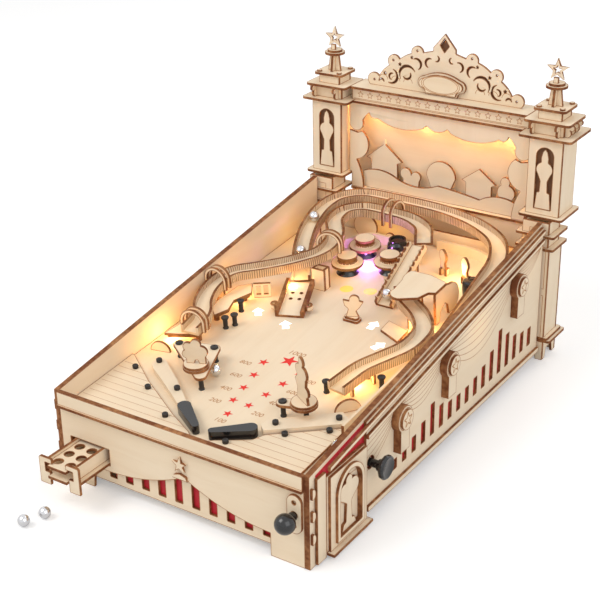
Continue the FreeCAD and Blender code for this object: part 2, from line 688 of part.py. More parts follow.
def track(label, points):
    """A trough with a floor and two curbs that follows a route on the playfield."""
    route = smooth_route(points)
    start = Vector(*points[0])
    ahead = Vector(*points[1]) - start
    ahead.normalize()
    across = ahead.cross(Vector(0, 0, 1))
    across.normalize()
    up = across.cross(ahead)
    half = S.track_width / 2
    inside = half - S.track_curb
    section = ((-half, -S.ply), (half, -S.ply), (half, S.track_height - S.ply),
               (inside, S.track_height - S.ply), (inside, 0), (-inside, 0),
               (-inside, S.track_height - S.ply), (-half, S.track_height - S.ply))
    corners = [start + across * a + up * b for a, b in section]
    profile = Part.makePolygon(corners + [corners[0]])
    sweep = Part.BRepOffsetAPI.MakePipeShell(route)
    sweep.setBiNormalMode(Vector(0, 0, 1))
    sweep.add(profile)
    sweep.build()
    sweep.makeSolid()
    shape = sweep.shape()
    area = 2 * half * S.ply + 2 * S.track_curb * (S.track_height - S.ply)
    print("%s: length %.0f, volume %.2f of its section times its length"
          % (label, route.Length, shape.Volume / (area * route.Length)))
    feature = doc.addObject("Part::Feature", label)
    feature.Shape = shape
    feature.Placement = on_board(0, 0, 0)
    return feature


# Routes: across, up the slope and height of the channel floor
ORBIT_ROUTE = placed((
    (-46.8, 233.9, 7.9), (-64.5, 262, 14.5), (-75, 290, 21.5), (-79, 317, 26.5), (-76, 341, 28.5),
    (-58, 356.5, 29), (-15, 357.5, 28.6), (22, 357.5, 27.5), (54, 350.5, 25.8), (82, 334, 24),
    (95.5, 306, 22), (97.6, 274, 18.5), (97.6, 214, 2.6)))
RETURN_ROUTE = placed((
    (29, 304, 27), (20, 322, 27), (0, 334, 26.8), (-31, 337.0, 26.4), (-48, 337.0, 26),
    (-60.5, 326, 25.3), (-59.5, 306, 24.8), (-42, 284, 24), (-37, 256, 22.6), (-56, 232, 20),
    (-74, 214, 19.2), (-94, 199, 18), (-95.0, 174, 15.8), (-88.5, 154.5, 13.9), (-77, 139.5, 12.8),
    (-75, 119, 11.8)))
SERPENT_ROUTE = placed((
    (44, 243, 16.2), (54, 229, 15.6), (75, 214, 15), (88.5, 197, 14.2), (89, 170, 13.2),
    (79, 149, 12.4), (71, 132, 11.8), (67, 104, 10.6)))
SPINE_FOOT = along(238.0)
SPINE_TOP = along(296.0)
SPINE_X = 29.0
SPINE_RISE = 26.6
SPINE_TEETH = 11
SPINE_LEG_SET = 10.0


def midway(route, k):
    """Middle of a straight run of a route, and its direction in the board's plane."""
    first = Vector(*route[k])
    last = Vector(*route[k + 1])
    run = last - first
    return (first + last) * 0.5, math.degrees(math.atan2(run.y, run.x))


def columns(label, route, picks):
    """Plates that stand under a track, square to its run."""
    legs = []
    for k in picks:
        middle, turn = midway(route, k)
        rise = abs(route[k + 1][2] - route[k][2])
        slope = rise / math.hypot(route[k + 1][0] - route[k][0], route[k + 1][1] - route[k][1])
        tall = middle.z - S.ply * (math.hypot(1, slope) + slope) - S.clearance
        legs.append(plate("%s_leg_%d" % (label, k), upright(middle.x, middle.y, 0, turn + 90), [
            outline((-5, 0), (-3, 0), (-2, 4), (2, 4), (3, 0), (5, 0), (5, tall), (-5, tall))]))
    node("track_columns", *legs)


HOOP_BAR = 2.4
HOOP_SPRING = 7.0


def hoops(label, route, picks):
    """Pairs of arches over a track, square to its run."""
    inner = S.track_width / 2 + 2.5 * S.clearance
    outer = inner + HOOP_BAR
    arches = []
    for k, spread, hang in picks:
        middle, turn = midway(route, k)
        run = Vector(math.cos(math.radians(turn)), math.sin(math.radians(turn)), 0)
        for side in (-1, 1):
            spot = middle + run * (side * spread + S.ply / 2)
            arches.append(plate("%s_hoop_%d_%d" % (label, k, side + 1), upright(
                spot.x, spot.y, middle.z - S.ply, turn + 90), [
                    outline((inner, -hang), (outer, -hang), (outer, HOOP_SPRING),
                            ("via", 0, HOOP_SPRING + outer), (-outer, HOOP_SPRING), (-outer, -hang),
                            (-inner, -hang), (-inner, HOOP_SPRING), ("via", 0, HOOP_SPRING + inner),
                            (inner, HOOP_SPRING))]))
    node("track_hoops", *arches)


def build_tracks():
    node("orbit_track", track("orbit_track", ORBIT_ROUTE), track("serpent_track", SERPENT_ROUTE))
    node("return_track", track("return_track", RETURN_ROUTE))
    columns("orbit", ORBIT_ROUTE, (0, 1, 2, 11))
    columns("return", RETURN_ROUTE, (5, 11, 13))
    columns("serpent", SERPENT_ROUTE, (1, 5, 6))
    hoops("return", RETURN_ROUTE, ((2, 4.0, 3.0), (7, 2.6, 0.0), (11, 2.6, 0.0), (14, 2.6, 0.0)))


RAMP_FOOT = (-29.8, along(189.5))
RAMP_TURN = 20.5
RAMP_LENGTH = 44.8
RAMP_RISE = 5.8
RAMP_HALF = 11.7
RAMP_RAIL = 2.8
RAMP_EYE = 3.0
RAMP_LEG = 38.0


def build_entry_ramp():
    """Broad ramp from the playfield to the orbit track, with rails and lifting eyes."""
    slant = math.degrees(math.asin(RAMP_RISE / RAMP_LENGTH))
    place = on_board(RAMP_FOOT[0], RAMP_FOOT[1], 0, RAMP_TURN).multiply(
        Placement(Vector(), Rotation(Vector(1, 0, 0), slant)))
    holes = [circle(x, y, 2.6) for x in (-3.6, 3.6) for y in (22.0, 30.0)]
    floor = plate("ramp_floor", place, [rectangle(-RAMP_HALF, 0, RAMP_HALF, RAMP_LENGTH)] + holes)
    raised = place.multiply(Placement(Vector(0, 0, S.ply), Rotation()))
    rails = []
    inner = RAMP_HALF - RAMP_RAIL
    eye_x = RAMP_HALF + RAMP_EYE - 0.4
    for side in (-1, 1):
        rail = mirrored(((inner, 0), (RAMP_HALF, 0), (RAMP_HALF, 7.6), ("via", eye_x + RAMP_EYE, 10),
                         (RAMP_HALF, 12.4), (RAMP_HALF, RAMP_LENGTH), (inner, RAMP_LENGTH)), side)
        rails.append(plate("ramp_rail_%d" % (side + 1), raised, [
            outline(*rail), circle(side * eye_x, 10, 2.4)], "wall_ply"))
    reach = math.radians(RAMP_TURN)
    leg_x = RAMP_FOOT[0] - RAMP_LEG * math.sin(reach)
    leg_s = RAMP_FOOT[1] + RAMP_LEG * math.cos(reach)
    tall = RAMP_RISE * (RAMP_LEG - S.ply) / RAMP_LENGTH
    leg = plate("ramp_leg", upright(leg_x, leg_s, 0, RAMP_TURN), [rectangle(-8, 0, 8, tall)])
    node("ball_ramps", floor, leg, *rails)


DECK_HIGH = ((-75.3, 151.3), (-70.6, 164), (-75, 178.3), (-69.3, 194.9), (-77.5, 207.9), (-86, 199),
             (-87, 172), (-84, 160))
DECK_LOW = ((-94.3, 111.2), (-83.6, 115.2), (-68.5, 123.2), (-70, 133), (-91.4, 134.1))
DECK_STEP = 2.2


def build_decks():
    """Two-sheet decks on short legs beside the return track."""
    for name, corners, top, legs in (("high", DECK_HIGH, 10.0, ((-80, 160), (-78, 196))),
                                     ("low", DECK_LOW, 9.5, ((-88, 128), (-74, 128)))):
        ring = placed(corners)
        middle_x = sum(p[0] for p in ring) / len(ring)
        middle_s = sum(p[1] for p in ring) / len(ring)
        small = [(x + DECK_STEP * (middle_x - x) / math.hypot(middle_x - x, middle_s - s),
                  s + DECK_STEP * (middle_s - s) / math.hypot(middle_x - x, middle_s - s))
                 for x, s in ring]
        base = top - 2 * S.ply
        node("board_scenery", plate(name + "_deck_top", on_board(0, 0, base + S.ply), [outline(*ring)]),
             plate(name + "_deck_base", on_board(0, 0, base), [outline(*small)]))
        for k, (x, s) in enumerate(placed(legs)):
            node("board_scenery", rod("%s_deck_leg_%d" % (name, k), on_board(x, s, 0),
                                      "Sizes.post_dia", base))
    x0, x1 = -39.0, -27.0
    front = along(238.0)
    back = front + 9.0
    tall = 19.0
    for k, s in enumerate((front + S.ply, back)):
        node("board_scenery", plate("pillar_%d" % k, upright(0, s, 0), [rectangle(x0, 0, x1, tall)]))
    for k, x in enumerate((x0, x1 - S.ply)):
        node("board_scenery", plate("pillar_%d" % (k + 2), on_board(x, front + S.ply, 0).multiply(
            Placement(Vector(), Rotation(Vector(1, 1, 1), 120))), [
                rectangle(0, 0, back - front - 2 * S.ply, tall)]))


def build_spine():
    """Straight ramp up to the return track, with toothed sides."""
    run = SPINE_TOP - SPINE_FOOT
    slant = math.degrees(math.atan2(SPINE_RISE, run))
    length = math.hypot(run, SPINE_RISE)
    inside = S.track_width / 2 - S.ply
    place = on_board(SPINE_X, SPINE_FOOT, 0).multiply(
        Placement(Vector(), Rotation(Vector(1, 0, 0), slant)))
    floor = plate("spine_floor", place, [rectangle(-inside, 0, inside, length)])
    pitch = length / SPINE_TEETH
    teeth = [(0, 0), (length, 0)]
    for k in range(SPINE_TEETH, 0, -1):
        teeth += [(k * pitch, 6.0), ((k - 0.5) * pitch, 8.6), ((k - 0.55) * pitch, 6.2)]
    teeth += [(0, 5.0)]
    sides = []
    for side in (-1, 1):
        x = inside if side > 0 else -inside - S.ply
        sides.append(plate("spine_side_%d" % (side + 1), place.multiply(
            Placement(Vector(x, 0, 0), Rotation(Vector(1, 1, 1), 120))), [outline(*teeth)]))
    leg_s = SPINE_TOP - SPINE_LEG_SET
    tall = SPINE_RISE * (leg_s - S.ply - SPINE_FOOT) / run
    leg = plate("spine_leg", upright(SPINE_X, leg_s, 0, 0), [rectangle(-5, 0, 5, tall)])
    node("ball_ramps", floor, leg, *sides)


LANE_START = 70.0
LANE_END = along(209.0)
BACK_FIELD = on_board(0, FIELD_SHIFT, 0)


def build_lane():
    rail = plate("lane_rail", on_board(LANE_RAIL_X, LANE_START, 0).multiply(
        Placement(Vector(), Rotation(Vector(1, 1, 1), 120))), [
            rectangle(0, 0, LANE_END - LANE_START, S.guide_height)])
    node("ball_guides", rail)
    arc = outline((INNER - 0.6, 266), (INNER - 0.6, 283), ("via", 86.9, 327.8), (52, 345.5), (20, 345.5),
                  (20, 343), (52, 343), ("via", 85.1, 326), (INNER - 3.1, 283), (INNER - 3.1, 266))
    node("ball_guides", plate("orbit_guide", BACK_FIELD, [arc], "guide_height"))
    guard = outline((-47, 284), ("via", -49, 314), (-34, 331), (0, 329), ("via", 14, 322), (18, 310),
                    (20.5, 311), ("via", 16, 324), (0.5, 331.5), (-35, 333.5), ("via", -51.8, 316),
                    (-49.5, 284))
    node("ball_guides", plate("bumper_guard", BACK_FIELD, [guard], "guide_height"))


HEAD_HEIGHT = 27.3
CHEEK_X = 77.0
LOG_RADIUS = 11.5
LOG_SMALL = 5.0


def build_scenery():
    """Cover like an animal's head, targets, drums, log slices and small figures."""
    top = outline((47.5, 222), ("via", 49.5, 213), (58, 210.5), (70.6, 218.5), (74, 229), (79, 231),
                  (79, 249), (63, 254.5), (45.5, 254.5), ("via", 44, 246), (45.9, 238))
    node("head_cover", plate("head_top", BACK_FIELD.multiply(Placement(
        Vector(0, 0, HEAD_HEIGHT), Rotation())), [top]))
    cheek = outline((231, 0), (237, 0), (239, 9), (246, 13), (251, 9), (253, 0), (263, 0),
                    ("via", 269, 14), (256, 25.5), (249, HEAD_HEIGHT), (231, HEAD_HEIGHT))
    node("head_cover", plate("head_cheek", BACK_FIELD.multiply(
        Placement(Vector(CHEEK_X, 0, 0), Rotation(Vector(1, 1, 1), 120))), [cheek]))
    leg = outline((-5, 0), (-2, 0), ("via", 0, 8), (2, 0), (5, 0), (3.5, HEAD_HEIGHT), (-3.5, HEAD_HEIGHT))
    node("head_cover", plate("head_leg", upright(51, along(253.5), 0), [leg]))
    targets = []
    for k, (x, s) in enumerate(placed(((46.0, 307.3), (68.4, 302.4)))):
        for side in (-1, 1):
            targets.append(plate("target_foot_%d_%d" % (k, side + 1), on_board(
                x + side * 2.5 - S.ply / 2, s - 2.5, 0).multiply(
                    Placement(Vector(), Rotation(Vector(1, 1, 1), 120))), [rectangle(0, 0, 5, 6)]))
        targets.append(plate("target_%d" % k, upright(x, s + 1, 6, -35), [outline(
            (-4, 0), (4, 0), (3, 5), (5, 9), ("via", 4, 15), (0, 17), ("via", -4, 15), (-5, 9), (-3, 5))]))
    window = rectangle(-5, 3, -1, 10.5)
    targets.append(plate("gate_target", upright(-68.3, along(208.4), 0, 32), [
        rectangle(-7, 0, 7, 13), window, rectangle(1, 3, 5, 10.5)]))
    node("standing_targets", *targets)
    node("black_drums", turned("black_drum", on_board(82.5, along(286), 0), outline(
        (0, 0), (7.4, 0), (8.2, 2), (8.5, 7), (8.2, 12), (7.2, 14), (0, 14))))
    node("black_drums", turned("black_pot", on_board(-4.5, along(319.3), 0), outline(
        (0, 0), (6, 0), (8.4, 4), (9.2, 8), (8.4, 12), (6.5, 14.4), (7.5, 16), (0, 16))))
    for k, (x, s, r) in enumerate(placed(((-45.7, 337.5, LOG_RADIUS), (-21.5, 337.5, LOG_SMALL)))):
        node("board_scenery", plate("log_%d" % k, upright(x, s, r, 0), [circle(0, 0, 2 * r)]))
    x, s = 16.9, along(208.5)
    node("board_scenery",
         plate("lane_figure_step", on_board(x, s, 0), [rounded(-7, -4, 7, 4, 2)]),
         plate("lane_figure_block", on_board(x, s, S.ply), [rounded(-6, -3, 6, 3, 2)]),
         plate("lane_figure_body", upright(x, s + 1, 2 * S.ply, 25), [outline(
             (-5, 0), (5, 0), (3, 5), (6, 8), (9, 13), (6, 14), (3, 11), ("via", 2, 19), (-2, 14),
             (-7, 15), (-6, 10), (-3, 7))]))
    node("board_scenery", plate("side_ramp", BACK_FIELD, [outline(
        (45.5, 203.6), (66, 193.8), (65, 211.9), (44.5, 218.5))]))
    half_wheel = outline((-10, 0), (10, 0), ("via", 0, 10))
    node("board_scenery", plate("half_wheel", upright(79, 99, 0, 50), [half_wheel]))
    node("board_scenery", plate("half_wheel_left", upright(-91, 102, 0, 10), [outline(
        (-8.5, 0), (8.5, 0), ("via", 0, 8.5))]))


# Flippers and their buttons

CRANK_DROP = 13.5
SLIDER_DROP = 0.7
SLIDER_S = 73.0
FLIPPER_BASE = 10.0
FLIPPER_TIP = 5.6


def flipper_x(side):
    return FLIPPER_MIDDLE + side * FLIPPER_SPREAD


def build_flipper(side, name):
    """Blade, shaft and crank turn as one about a line square to the playfield."""
    x = flipper_x(side)
    blade_turn = 180 + S.flipper_rest if side > 0 else -S.flipper_rest
    lift = S.clearance
    r0 = FLIPPER_BASE / 2
    r1 = FLIPPER_TIP / 2
    end = S.flipper_length
    lean = math.acos((r0 - r1) / end)
    blade = outline((r0 * math.cos(lean), r0 * math.sin(lean)), ("via", -r0, 0),
                    (r0 * math.cos(lean), -r0 * math.sin(lean)),
                    (end + r1 * math.cos(lean), -r1 * math.sin(lean)), ("via", end + r1, 0),
                    (end + r1 * math.cos(lean), r1 * math.sin(lean)))
    node(name + "_flipper", plate(name + "_flipper", on_board(x, FLIPPER_S, lift, blade_turn),
                                  [blade], "flipper_height"))
    shaft = rod(name + "_flipper_shaft", on_board(x, FLIPPER_S, lift - CRANK_DROP), "Sizes.flipper_shaft",
                CRANK_DROP)
    reach = S.crank_radius
    half_swing = S.flipper_swing / 2
    arm_turn = -90 - half_swing if side < 0 else -90 + half_swing
    arm = plate(name + "_crank_arm", on_board(x, FLIPPER_S, lift - CRANK_DROP - S.ply, arm_turn),
                [rounded(-4, -4, reach + 3.4, 4, 3.2)])
    pin_x = x + reach * math.cos(math.radians(arm_turn))
    pin_s = FLIPPER_S + reach * math.sin(math.radians(arm_turn))
    pin = rod(name + "_crank_pin", on_board(pin_x, pin_s, lift - CRANK_DROP - S.ply - 3), "Sizes.crank_pin",
              3)
    node(name + "_crank", joined(name + "_crank", [shaft, arm, pin]))


def build_button(side, name):
    """Disc outside the wall, stem through it and a slider that turns the crank."""
    face = HALF + S.button_reach
    stem_end = INNER - 2 * S.ply
    disc_depth = 2.2 * S.ply
    disc = outline((0, 0), (S.button_stem / 2, 0), (S.button_stem / 2, face - disc_depth - 3 - stem_end),
                   (5.4, face - disc_depth - stem_end), (S.button_disc / 2 - 0.8, face - disc_depth - stem_end),
                   (S.button_disc / 2, face - disc_depth + 0.8 - stem_end),
                   (S.button_disc / 2, face - 1.0 - stem_end), (S.button_disc / 2 - 1.0, face - stem_end),
                   (0, face - stem_end))
    out = Rotation(Vector(0, 1, 0), 90 * side)
    node(name + "_button", turned(name + "_button", at(side * stem_end, S.button_y, S.button_z, out), disc))
    # Slider under the playfield, with a slot round the crank pin
    half_swing = math.radians(S.flipper_swing / 2)
    pin_x = flipper_x(side) + side * S.crank_radius * math.sin(half_swing)
    pin_s = FLIPPER_S - S.crank_radius * math.cos(half_swing)
    room = S.crank_pin / 2 + S.clearance
    low = pin_s - (S.crank_radius - S.crank_radius * math.cos(half_swing)) - room
    slot = rectangle(pin_x - room, low, pin_x + room, pin_s + room)
    slider = outline(*mirrored((
        (stem_end, SLIDER_S - 5), (stem_end, SLIDER_S + 5), (side * pin_x + 9, SLIDER_S + 5),
        (side * pin_x - 6, 50), (side * pin_x - 6, low - 4), (side * pin_x + 6, low - 4),
        (side * pin_x + 6, 46), (side * pin_x + 17, SLIDER_S - 5)), side))
    node(name + "_slider", plate(name + "_slider", on_board(0, 0, -CRANK_DROP - 2 * S.ply - SLIDER_DROP),
                                 [slider, slot]))


TRAY_DROP = 4.4
SEAT_START = 4.3
PULL_REACH = 4.5
RAIL_WIDTH = 3.0
RAIL_LENGTH = 65.0


def build_drawer():
    x0 = -S.drawer_x - S.drawer_width / 2
    x1 = -S.drawer_x + S.drawer_width / 2
    y0 = -S.drawer_open
    y1 = y0 + S.drawer_length
    base_z = S.drawer_top - S.drawer_depth - S.ply
    tray_z = S.drawer_top - TRAY_DROP
    base = plate("drawer_base", lying(0, 0, base_z), [
        outline((x0 - S.drawer_flange, y0), (x0 + 5, y0), (x0 + 5, y0 - PULL_REACH),
                (x1 - 5, y0 - PULL_REACH), (x1 - 5, y0), (x1 + S.drawer_flange, y0),
                (x1 + S.drawer_flange, y1), (x0 - S.drawer_flange, y1))])
    sides = []
    for k, x in enumerate((x0, x1 - S.ply)):
        sides.append(plate("drawer_side_%d" % k, sideways(x, 0, 0), [
            rectangle(y0, base_z + S.ply, y1, S.drawer_top)]))
    back = plate("drawer_back", facing(0, y1 - S.ply, 0), [
        rectangle(x0 + S.ply, base_z + S.ply, x1 - S.ply, tray_z)])
    seats = []
    for k in range(3):
        for side in (-1, 1):
            seats.append(circle(-S.drawer_x + side * S.seat_pitch / 2,
                                y0 + SEAT_START + k * S.seat_pitch, S.seat_dia))
    tray = plate("drawer_tray", lying(0, 0, tray_z), [
        outline((x0 + S.ply, y0), (x0 + 5, y0), (x0 + 5, y0 - PULL_REACH), (x1 - 5, y0 - PULL_REACH),
                (x1 - 5, y0), (x1 - S.ply, y0), (x1 - S.ply, y1), (x0 + S.ply, y1))] + seats)
    node("drawer_box", base, back, *sides)
    node("drawer_tray", tray)
    low = base_z - 7.0
    top = S.drawer_top + 2.0
    for k, side in enumerate((-1, 1)):
        middle = -S.drawer_x + side * S.drawer_width / 2
        hook = mirrored(((-4.8, low), (5, low), (5, top - 1.5), ("via", 4.5, top - 0.5), (3.5, top),
                         (-5.5, top), ("via", -6.6, top - 0.4), (-7, top - 1.5), (-7, top - 4),
                         (-0.5, top - 4), (-0.5, base_z + S.ply + 1.5), (-4.8, base_z + S.ply + 1.5)),
                        side)
        points = []
        for point in hook:
            if point[0] == "via":
                points.append(("via", middle + point[1], point[2]))
            else:
                points.append((middle + point[0], point[1]))
        node("drawer_box", plate("drawer_pull_%d" % k, facing(0, y0 - S.ply, 0), [outline(*points)]))
    half = S.drawer_width / 2 + S.drawer_flange + S.clearance
    start = 3 * S.ply + S.clearance
    for k, side in enumerate((-1, 1)):
        x = -S.drawer_x + side * half
        outer = x if side > 0 else x - S.ply
        node("drawer_guides", plate("drawer_guide_%d" % k, sideways(outer, 0, 0), [
            rectangle(start, S.floor_gap + S.ply, start + RAIL_LENGTH, S.drawer_top)]))
        inner = x - RAIL_WIDTH if side > 0 else x
        for level, z in enumerate((base_z - S.ply - S.clearance, base_z + S.ply + S.clearance)):
            node("drawer_guides", block("drawer_ledge_%d_%d" % (k, level), at(inner, start, z),
                                        RAIL_WIDTH, RAIL_LENGTH, "Sizes.ply"))


NECK_LENGTH = 3.4


def plunger_height(y):
    """Height of the plunger's sloping axis at a depth behind the front plane."""
    return S.board_front - S.plunger_depth / BOARD_SLANT + SLOPE * y


def build_plunger():
    """Knob, rod and striker slide along the launch lane against a spring."""
    h = -S.plunger_depth
    back = Rotation(Vector(1, 0, 0), -90)
    knob_s = -14.0
    stop_s = 3.7
    collar_s = STRIKER_S - 6.0
    r = S.plunger_knob / 2
    neck = S.plunger_rod / 2 + 1.1
    drop = math.sqrt(r * r - neck * neck)
    rod_s = knob_s + drop + NECK_LENGTH
    axis = on_board(S.plunger_x, rod_s, h).multiply(Placement(Vector(), back))
    rod_piece = rod("plunger_shaft", axis, "Sizes.plunger_rod", STRIKER_S - rod_s)
    collar = rod("plunger_collar", on_board(S.plunger_x, collar_s, h).multiply(Placement(Vector(), back)),
                 "Sizes.plunger_rod + 5", 2)
    node("plunger_rod", joined("plunger_rod", [rod_piece, collar]))
    node("plunger_knob", turned("plunger_knob", on_board(S.plunger_x, knob_s, h).multiply(
        Placement(Vector(), back)), outline((0, -r), ("via", r, 0), (neck, drop), (neck, drop + NECK_LENGTH),
                                            (0, drop + NECK_LENGTH))))
    node("striker", plate("striker", upright(S.plunger_x, STRIKER_S + S.ply, h, 0), [outline(
        (-5, -4), (5, -4), (5, 4), (1.5, 8), (1.5, S.plunger_depth + 6), (-1.5, S.plunger_depth + 6),
        (-1.5, 8), (-5, 4))]))
    plate_z = plunger_height(-S.ply / 2)
    node("plunger_plate", plate("plunger_plate", facing(S.plunger_x, -S.ply, plate_z), [
        outline((-5.8, -9), ("via", 0, -14.8), (5.8, -9), (5.8, 9.5), ("via", 0, 15.3), (-5.8, 9.5)),
        circle(0, 0, S.plunger_rod + 2 * S.clearance), circle(0, 9.5, 3.2), circle(0, -8.6, 3.0)]))
    node("plunger_spring", turned("plunger_spring", on_board(S.plunger_x, stop_s, h).multiply(
        Placement(Vector(), back)), outline((S.plunger_rod / 2 + S.clearance, 0),
                                            (S.plunger_rod / 2 + 1.6, 0),
                                            (S.plunger_rod / 2 + 1.6, collar_s - stop_s - S.clearance),
                                            (S.plunger_rod / 2 + S.clearance, collar_s - stop_s - S.clearance))))


# Back-box

def tower_square(side, half_x, half_y, r, middle_y):
    x = side * S.tower_x
    return rounded(x - half_x, middle_y - half_y, x + half_x, middle_y + half_y, r)


def behind_wall(side, half_x, back):
    """Plate of the lower column: its front edge stays behind the wall's end."""
    x = side * S.tower_x
    return rounded(x - half_x, S.body_length + S.clearance, x + half_x, back, 2)


FOOT_TOP = 17.0
NECK_Z = S.back_height - 24.0
COLLAR_Z = S.back_height - 13.0
CAP_BOX_SHARE = 0.155
TAPER_SHARE = 0.31


def build_tower(side, name):
    x = side * S.tower_x
    mid = TOWER_Y
    col_y = S.body_length + S.clearance + S.column_size / 2
    half = S.column_size / 2
    # Foot, base plates and capital of the lower column
    low = []
    for k, (z, half_x, beyond) in enumerate(((FOOT_TOP, 19.5, 5), (FOOT_TOP + S.ply, 17, 3),
                                             (NECK_Z, 17, 3), (COLLAR_Z, 17, 3))):
        low.append(plate("%s_column_plate_%d" % (name, k), lying(0, 0, z), [
            behind_wall(side, half_x, col_y + half + beyond)]))
    node("tower_columns", *low)
    feet = []
    for k, y in enumerate((col_y - half, col_y + half - S.ply)):
        feet.append(plate("%s_tower_foot_%d" % (name, k), facing(x, y, 0), [outline(
            (-half, 0), (-half + 6, 0), (-half + 8, 9), (half - 8, 9), (half - 6, 0), (half, 0),
            (half, FOOT_TOP), (-half, FOOT_TOP))]))
    for k, out in enumerate((-1, 1)):
        fx = x + out * half if out < 0 else x + half - S.ply
        feet.append(plate("%s_tower_foot_%d" % (name, k + 2), sideways(fx, col_y, 0), [outline(
            (-half + S.ply, 0), (-half + 6, 0), (-half + 8, 9), (half - 8, 9), (half - 6, 0),
            (half - S.ply, 0), (half - S.ply, FOOT_TOP), (-half + S.ply, FOOT_TOP))]))
    node("tower_columns", *feet)
    sheets = []
    for k, z0, z1 in ((0, FOOT_TOP + 2 * S.ply, NECK_Z), (1, NECK_Z + S.ply, COLLAR_Z),
                      (2, COLLAR_Z + S.ply, TOWER_PLATE_Z)):
        inset = 0.0 if k == 0 else 2.0
        h = half - inset
        for m, y in enumerate((col_y - h, col_y + h - S.ply)):
            sheets.append(plate("%s_column_%d_%d" % (name, k, m), facing(x, y, 0), [
                rectangle(-h, z0, h, z1)]))
        for m, fx in enumerate((x - h, x + h - S.ply)):
            sheets.append(plate("%s_column_%d_%d" % (name, k, m + 2), sideways(fx, col_y, 0), [
                rectangle(-h + S.ply, z0, h - S.ply, z1)]))
    node("tower_columns", *sheets)
    # Upper shaft with an arched niche
    z0 = TOWER_PLATE_Z + S.ply
    z1 = CORNICE_Z
    h = S.shaft_size / 2
    front_y = mid - h
    frame = plate(name + "_shaft_front", facing(x, front_y, 0), [
        rectangle(-h, z0, h, z1), arch(-7.5, 7.5, z0 + 5, z1 - 15)])
    wings = []
    for m, fx in enumerate((x - h, x + h - S.ply)):
        wings.append(plate("%s_shaft_side_%d" % (name, m), sideways(fx, mid, 0), [
            rectangle(-h + S.ply, z0, h, z1)]))
    lining = plate(name + "_niche_lining", facing(x, front_y + S.ply, 0), [
        rectangle(-h + S.ply, z0, h - S.ply, z1)])
    node("tower_shafts", frame, *wings)
    node("wood_linings", lining)
    figure = outline((-7, 0), (7, 0), (5.6, 14), (3.4, 14.6), (3, 24), (5.6, 30), ("via", 6.4, 37),
                     (3, 40), (3.2, 44), (2, 49), (0, 51.5), (-2, 49), (-3.2, 44), (-3, 40),
                     ("via", -6.4, 37), (-5.6, 30), (-3, 24), (-3.4, 14.6), (-5.6, 14))
    node("tower_figures", plate(name + "_guard_figure", facing(x, front_y, z0 + 5 + 0.2), [figure]))
    # Plate under the shaft, the cornices and the blocks between them
    mid_z = CORNICE_Z + S.ply
    top_z = mid_z + S.cornice_gap - S.ply
    node("tower_cornices",
         plate(name + "_shaft_base", lying(0, 0, TOWER_PLATE_Z), [tower_square(side, 19.3, 19, 3, mid)]),
         plate(name + "_cornice_low", lying(0, 0, CORNICE_Z), [
             rounded(x - 23, mid - 19, x + 23, CORNICE_BACK, 3)]),
         plate(name + "_cornice_high", lying(0, 0, top_z), [tower_square(side, 20, 17, 3, mid)]))
    frieze = sheet_box(name + "_frieze", x - 13, x + 13, mid - 11, mid + 11, mid_z, top_z)
    corbels = []
    corbel = outline((0, 0), (3, 0), ("via", 5.2, 4), (4, 6.4), ("via", 8, 8), (5.6, S.cornice_gap - S.ply),
                     (0, S.cornice_gap - S.ply))
    for k, out in enumerate((-1, 1)):
        turned_out = at(x + out * 11, mid - 11, mid_z, Rotation(Vector(0, 0, 1), -90)).multiply(
            Placement(Vector(0, -S.ply / 2, 0), Rotation(Vector(1, 0, 0), 90)))
        corbels.append(plate("%s_corbel_front_%d" % (name, k), turned_out, [corbel]))
    for k, y in enumerate((mid - 8, mid, mid + 8)):
        turn = 0 if side > 0 else 180
        corbels.append(plate("%s_corbel_side_%d" % (name, k), at(
            x + side * 13, y + side * S.ply / 2, mid_z, Rotation(Vector(0, 0, 1), turn)).multiply(
                Placement(Vector(), Rotation(Vector(1, 0, 0), 90))), [corbel]))
    node("tower_cornices", *(frieze + corbels))
    # Finial: studded plate on a small box, tapered cross, two discs and a star
    cap_z = top_z + S.ply
    stud_z = cap_z + CAP_BOX_SHARE * (STAR_TOP - cap_z)
    pieces = sheet_box(name + "_cap_box", x - 10, x + 10, mid - 10, mid + 10, cap_z, stud_z)
    pieces.append(plate(name + "_cap_plate", lying(0, 0, stud_z), [tower_square(side, 14, 13, 3, mid)]))
    for k, (dx, dy) in enumerate(((-10, -9.5), (10, -9.5), (10, 9.5), (-10, 9.5))):
        pieces.append(rod("%s_stud_%d" % (name, k), at(x + dx, mid + dy, stud_z + S.ply), 4.4, 1.4))
    node("tower_cornices", *pieces)
    cross_z = stud_z + S.ply
    neck = TAPER_SHARE * (STAR_TOP - cap_z)
    taper = outline((-6.2, 0), (6.2, 0), (4.2, neck), (-4.2, neck))
    half_taper = outline((S.ply / 2, 0), (6.2, 0), (4.2, neck), (S.ply / 2, neck))
    star_z = cross_z + neck + 2 * S.ply
    radius = (STAR_TOP - star_z) / 2.1
    star = star_points(0, STAR_TOP - star_z - radius, radius)
    middle = (0, STAR_TOP - star_z - radius)
    node("tower_finials",
         plate(name + "_finial_wide", facing(x, mid - S.ply / 2, cross_z), [taper]),
         plate(name + "_finial_back", at(x - S.ply / 2, mid, cross_z, Rotation(Vector(1, 1, 1), 120)),
               [half_taper]),
         plate(name + "_finial_front", at(x + S.ply / 2, mid, cross_z,
                                          Rotation(Vector(0, 0, 1), 180)).multiply(
             Placement(Vector(), Rotation(Vector(1, 1, 1), 120))), [half_taper]),
         plate(name + "_finial_disc_0", lying(x, mid, cross_z + neck), [circle(0, 0, 17.5)]),
         plate(name + "_finial_disc_1", lying(x, mid, star_z - S.ply), [circle(0, 0, 13)]))
    node("tower_finials",
         plate(name + "_star", facing(x, mid - S.ply / 2, star_z), [outline(*star), outline(
             *star_points(middle[0], middle[1], 0.42 * radius))]),
         block(name + "_star_stem", at(x - 2, mid - 2 - S.ply / 2, star_z), 4, 2, 0.5 * radius))


